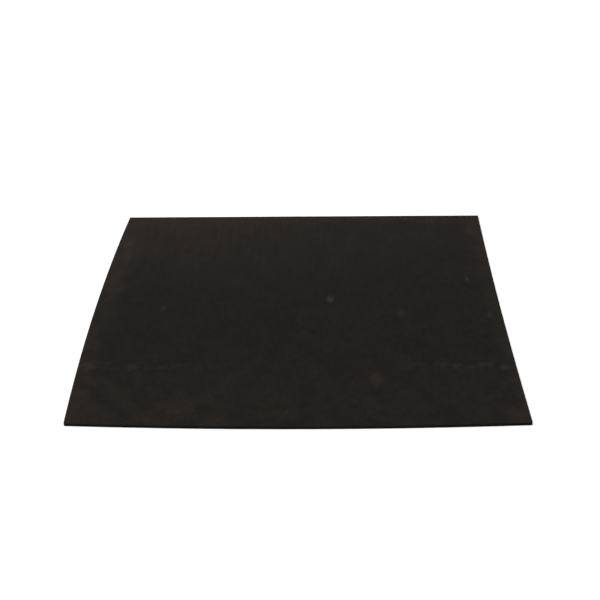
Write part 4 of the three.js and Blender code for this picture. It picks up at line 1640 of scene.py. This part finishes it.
def eyelet_shape():
    """A rolled eyelet. Its section runs outwards from its bore: a foot, a shank and a rolled head."""
    low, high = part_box("earth_eyelet")
    bore, shank, foot, head = EYELET_BORE, EYELET_SHANK, EYELET_FOOT, (high.x - low.x) / 2
    foot_top, head_bottom = EYELET_FOOT_THICKNESS, high.z - low.z - EYELET_HEAD_THICKNESS
    top, rim = high.z - low.z, EYELET_RIM
    outline = (
        (bore, rim), (bore + rim, 0.0), (foot - rim, 0.0), (foot, rim), (foot, foot_top - rim),
        (foot - rim, foot_top), (shank, foot_top), (shank, head_bottom), (head - rim, head_bottom),
        (head, head_bottom + rim), (head - rim, top), (bore + 3 * rim, top), (bore, top - 2 * rim),
    )
    section = [Vector((radius - shank, height)) for radius, height in outline]
    centre = (low + high) / 2
    return ring_of(Vector((centre.x, centre.y, low.z)), shank, section)


def make_earth(settings):
    """The ring terminal under the foil, and the rolled eyelet that clamps the foil to it."""
    brass = metal_material("terminal_brass", settings.heater.brass_colour, 0.24, 0.42, 0.66)
    as_piece("ring_terminal", terminal_mesh(), "earth_terminal", "tinned_brass", brass)
    new_piece("foil_eyelet", eyelet_shape(), "earth_eyelet", "tinned_brass", brass)


def make_block(settings):
    """The soft block that holds the joints apart."""
    colour = settings.heater.block_colour
    rubber = moulded_material("block_rubber", colour, 0.74, 0.86, skin=0.35 * MM, gloss=0.3)
    mesh = softened("bay_block", NOTCH_NODE, BLOCK_EDGE)
    as_piece("bay_block", mesh, NOTCH_NODE, "block_rubber", rubber)


# ---------------------------------------------------------------------------------------------------
# The stage


def make_stage(settings):
    studio = settings.studio
    scene = bpy.context.scene
    half = studio.floor_size / 2
    mesh = bpy.data.meshes.new("floor")
    corners = [(-half, -half, 0), (half, -half, 0), (half, half, 0), (-half, half, 0)]
    mesh.from_pydata(corners, [], [(0, 1, 2, 3)])
    mesh.materials.append(floor_material(studio))
    floor = bpy.data.objects.new("floor", mesh)
    scene.collection.objects.link(floor)

    world = bpy.data.worlds.new("studio_light")
    world.use_nodes = True
    tree = world.node_tree
    direction = tree.nodes.new("ShaderNodeTexCoord").outputs["Generated"]
    up = add(tree, "ShaderNodeSeparateXYZ", {0: direction}).outputs[2]
    light = ramp(tree, up, 0.0, 0.8, studio.horizon_light, studio.zenith_light)
    seen = tree.nodes.new("ShaderNodeLightPath").outputs["Is Camera Ray"]
    parts = {0: seen, 2: light, 3: studio.backdrop_brightness}
    strength = add(tree, "ShaderNodeMix", parts, data_type="FLOAT")
    background = tree.nodes["Background"]
    background.inputs["Color"].default_value = (1.0, 1.0, 1.0, 1.0)
    tree.links.new(strength.outputs[0], background.inputs["Strength"])
    scene.world = world

    softbox = bpy.data.lights.new("softbox", "SUN")
    softbox.energy = studio.softbox_strength
    softbox.angle = studio.softbox_angle
    lamp = bpy.data.objects.new("softbox", softbox)
    lamp.rotation_euler = studio.softbox_turn
    scene.collection.objects.link(lamp)

    camera = bpy.data.objects.new("camera", bpy.data.cameras.new("camera"))
    camera.data.lens = studio.lens
    camera.location = studio.camera_place
    camera.rotation_euler = studio.camera_turn
    scene.collection.objects.link(camera)
    scene.camera = camera
    scene.view_settings.view_transform = "Standard"


# ---------------------------------------------------------------------------------------------------
# The add-on


class HEATMAT_OT_covers(Operator):
    """Make the top and bottom rubber covers"""

    bl_idname = "heatmat.covers"
    bl_label = "Covers"

    def execute(self, context):
        make_covers(context.scene.heat_mat)
        return {"FINISHED"}


class HEATMAT_OT_edge(Operator):
    """Make the rubber strips that fill the edge"""

    bl_idname = "heatmat.edge"
    bl_label = "Edge Strips"

    def execute(self, context):
        make_edge(context.scene.heat_mat)
        return {"FINISHED"}


class HEATMAT_OT_gland(Operator):
    """Make the flat gland for the supply lead"""

    bl_idname = "heatmat.gland"
    bl_label = "Lead Gland"

    def execute(self, context):
        make_gland(context.scene.heat_mat)
        return {"FINISHED"}


class HEATMAT_OT_layers(Operator):
    """Make the felt, the woven carrier and the foil"""

    bl_idname = "heatmat.layers"
    bl_label = "Heater Layers"

    def execute(self, context):
        make_layers(context.scene.heat_mat)
        return {"FINISHED"}


class HEATMAT_OT_wire(Operator):
    """Make the heating wire"""

    bl_idname = "heatmat.wire"
    bl_label = "Heating Wire"

    def execute(self, context):
        make_wire(context.scene.heat_mat)
        return {"FINISHED"}


class HEATMAT_OT_tapes(Operator):
    """Make the tapes that hold the wire"""

    bl_idname = "heatmat.tapes"
    bl_label = "Wire Tapes"

    def execute(self, context):
        make_tapes(context.scene.heat_mat)
        return {"FINISHED"}


class HEATMAT_OT_block(Operator):
    """Make the soft block in the bay"""

    bl_idname = "heatmat.block"
    bl_label = "Joint Block"

    def execute(self, context):
        make_block(context.scene.heat_mat)
        return {"FINISHED"}


class HEATMAT_OT_crimps(Operator):
    """Make the crimps and the sleeves shrunk over them"""

    bl_idname = "heatmat.crimps"
    bl_label = "Crimps and Sleeves"

    def execute(self, context):
        make_crimps(context.scene.heat_mat)
        return {"FINISHED"}


class HEATMAT_OT_leads(Operator):
    """Make the short live, neutral and earth leads"""

    bl_idname = "heatmat.leads"
    bl_label = "Leads"

    def execute(self, context):
        make_leads(context.scene.heat_mat)
        return {"FINISHED"}


class HEATMAT_OT_fuse(Operator):
    """Make the thermal fuse and its braided sleeve"""

    bl_idname = "heatmat.fuse"
    bl_label = "Thermal Fuse"

    def execute(self, context):
        make_fuse(context.scene.heat_mat)
        return {"FINISHED"}


class HEATMAT_OT_earth(Operator):
    """Make the foil's ring terminal and its eyelet"""

    bl_idname = "heatmat.earth"
    bl_label = "Foil Earth"

    def execute(self, context):
        make_earth(context.scene.heat_mat)
        return {"FINISHED"}


class HEATMAT_OT_stage(Operator):
    """Make the floor, the lights and the camera"""

    bl_idname = "heatmat.stage"
    bl_label = "Stage"

    def execute(self, context):
        make_stage(context.scene.heat_mat)
        return {"FINISHED"}


OPERATORS = (
    HEATMAT_OT_stage, HEATMAT_OT_covers, HEATMAT_OT_edge, HEATMAT_OT_gland,
    HEATMAT_OT_layers, HEATMAT_OT_wire, HEATMAT_OT_tapes, HEATMAT_OT_block,
    HEATMAT_OT_crimps, HEATMAT_OT_leads, HEATMAT_OT_fuse, HEATMAT_OT_earth,
)


class HEATMAT_PT_panel(Panel):
    """Lists the heat mat's pieces"""

    bl_idname = "HEATMAT_PT_panel"
    bl_label = "Heat Mat"
    bl_space_type = "VIEW_3D"
    bl_region_type = "UI"
    bl_category = "Heat Mat"

    def draw(self, context):
        for operator in OPERATORS:
            self.layout.operator(operator.bl_idname)


CLASSES = (
    SheetSettings, RubberSettings, HeaterSettings, StudioSettings, HeatMatSettings,
    *OPERATORS, HEATMAT_PT_panel,
)


def register():
    for cls in CLASSES:
        bpy.utils.register_class(cls)
    bpy.types.Scene.heat_mat = PointerProperty(type=HeatMatSettings)


def unregister():
    del bpy.types.Scene.heat_mat
    for cls in reversed(CLASSES):
        bpy.utils.unregister_class(cls)


def main():
    register()
    for operator in OPERATORS:
        family, name = operator.bl_idname.split(".")
        getattr(getattr(bpy.ops, family), name)()


if __name__ == "__main__":
    main()
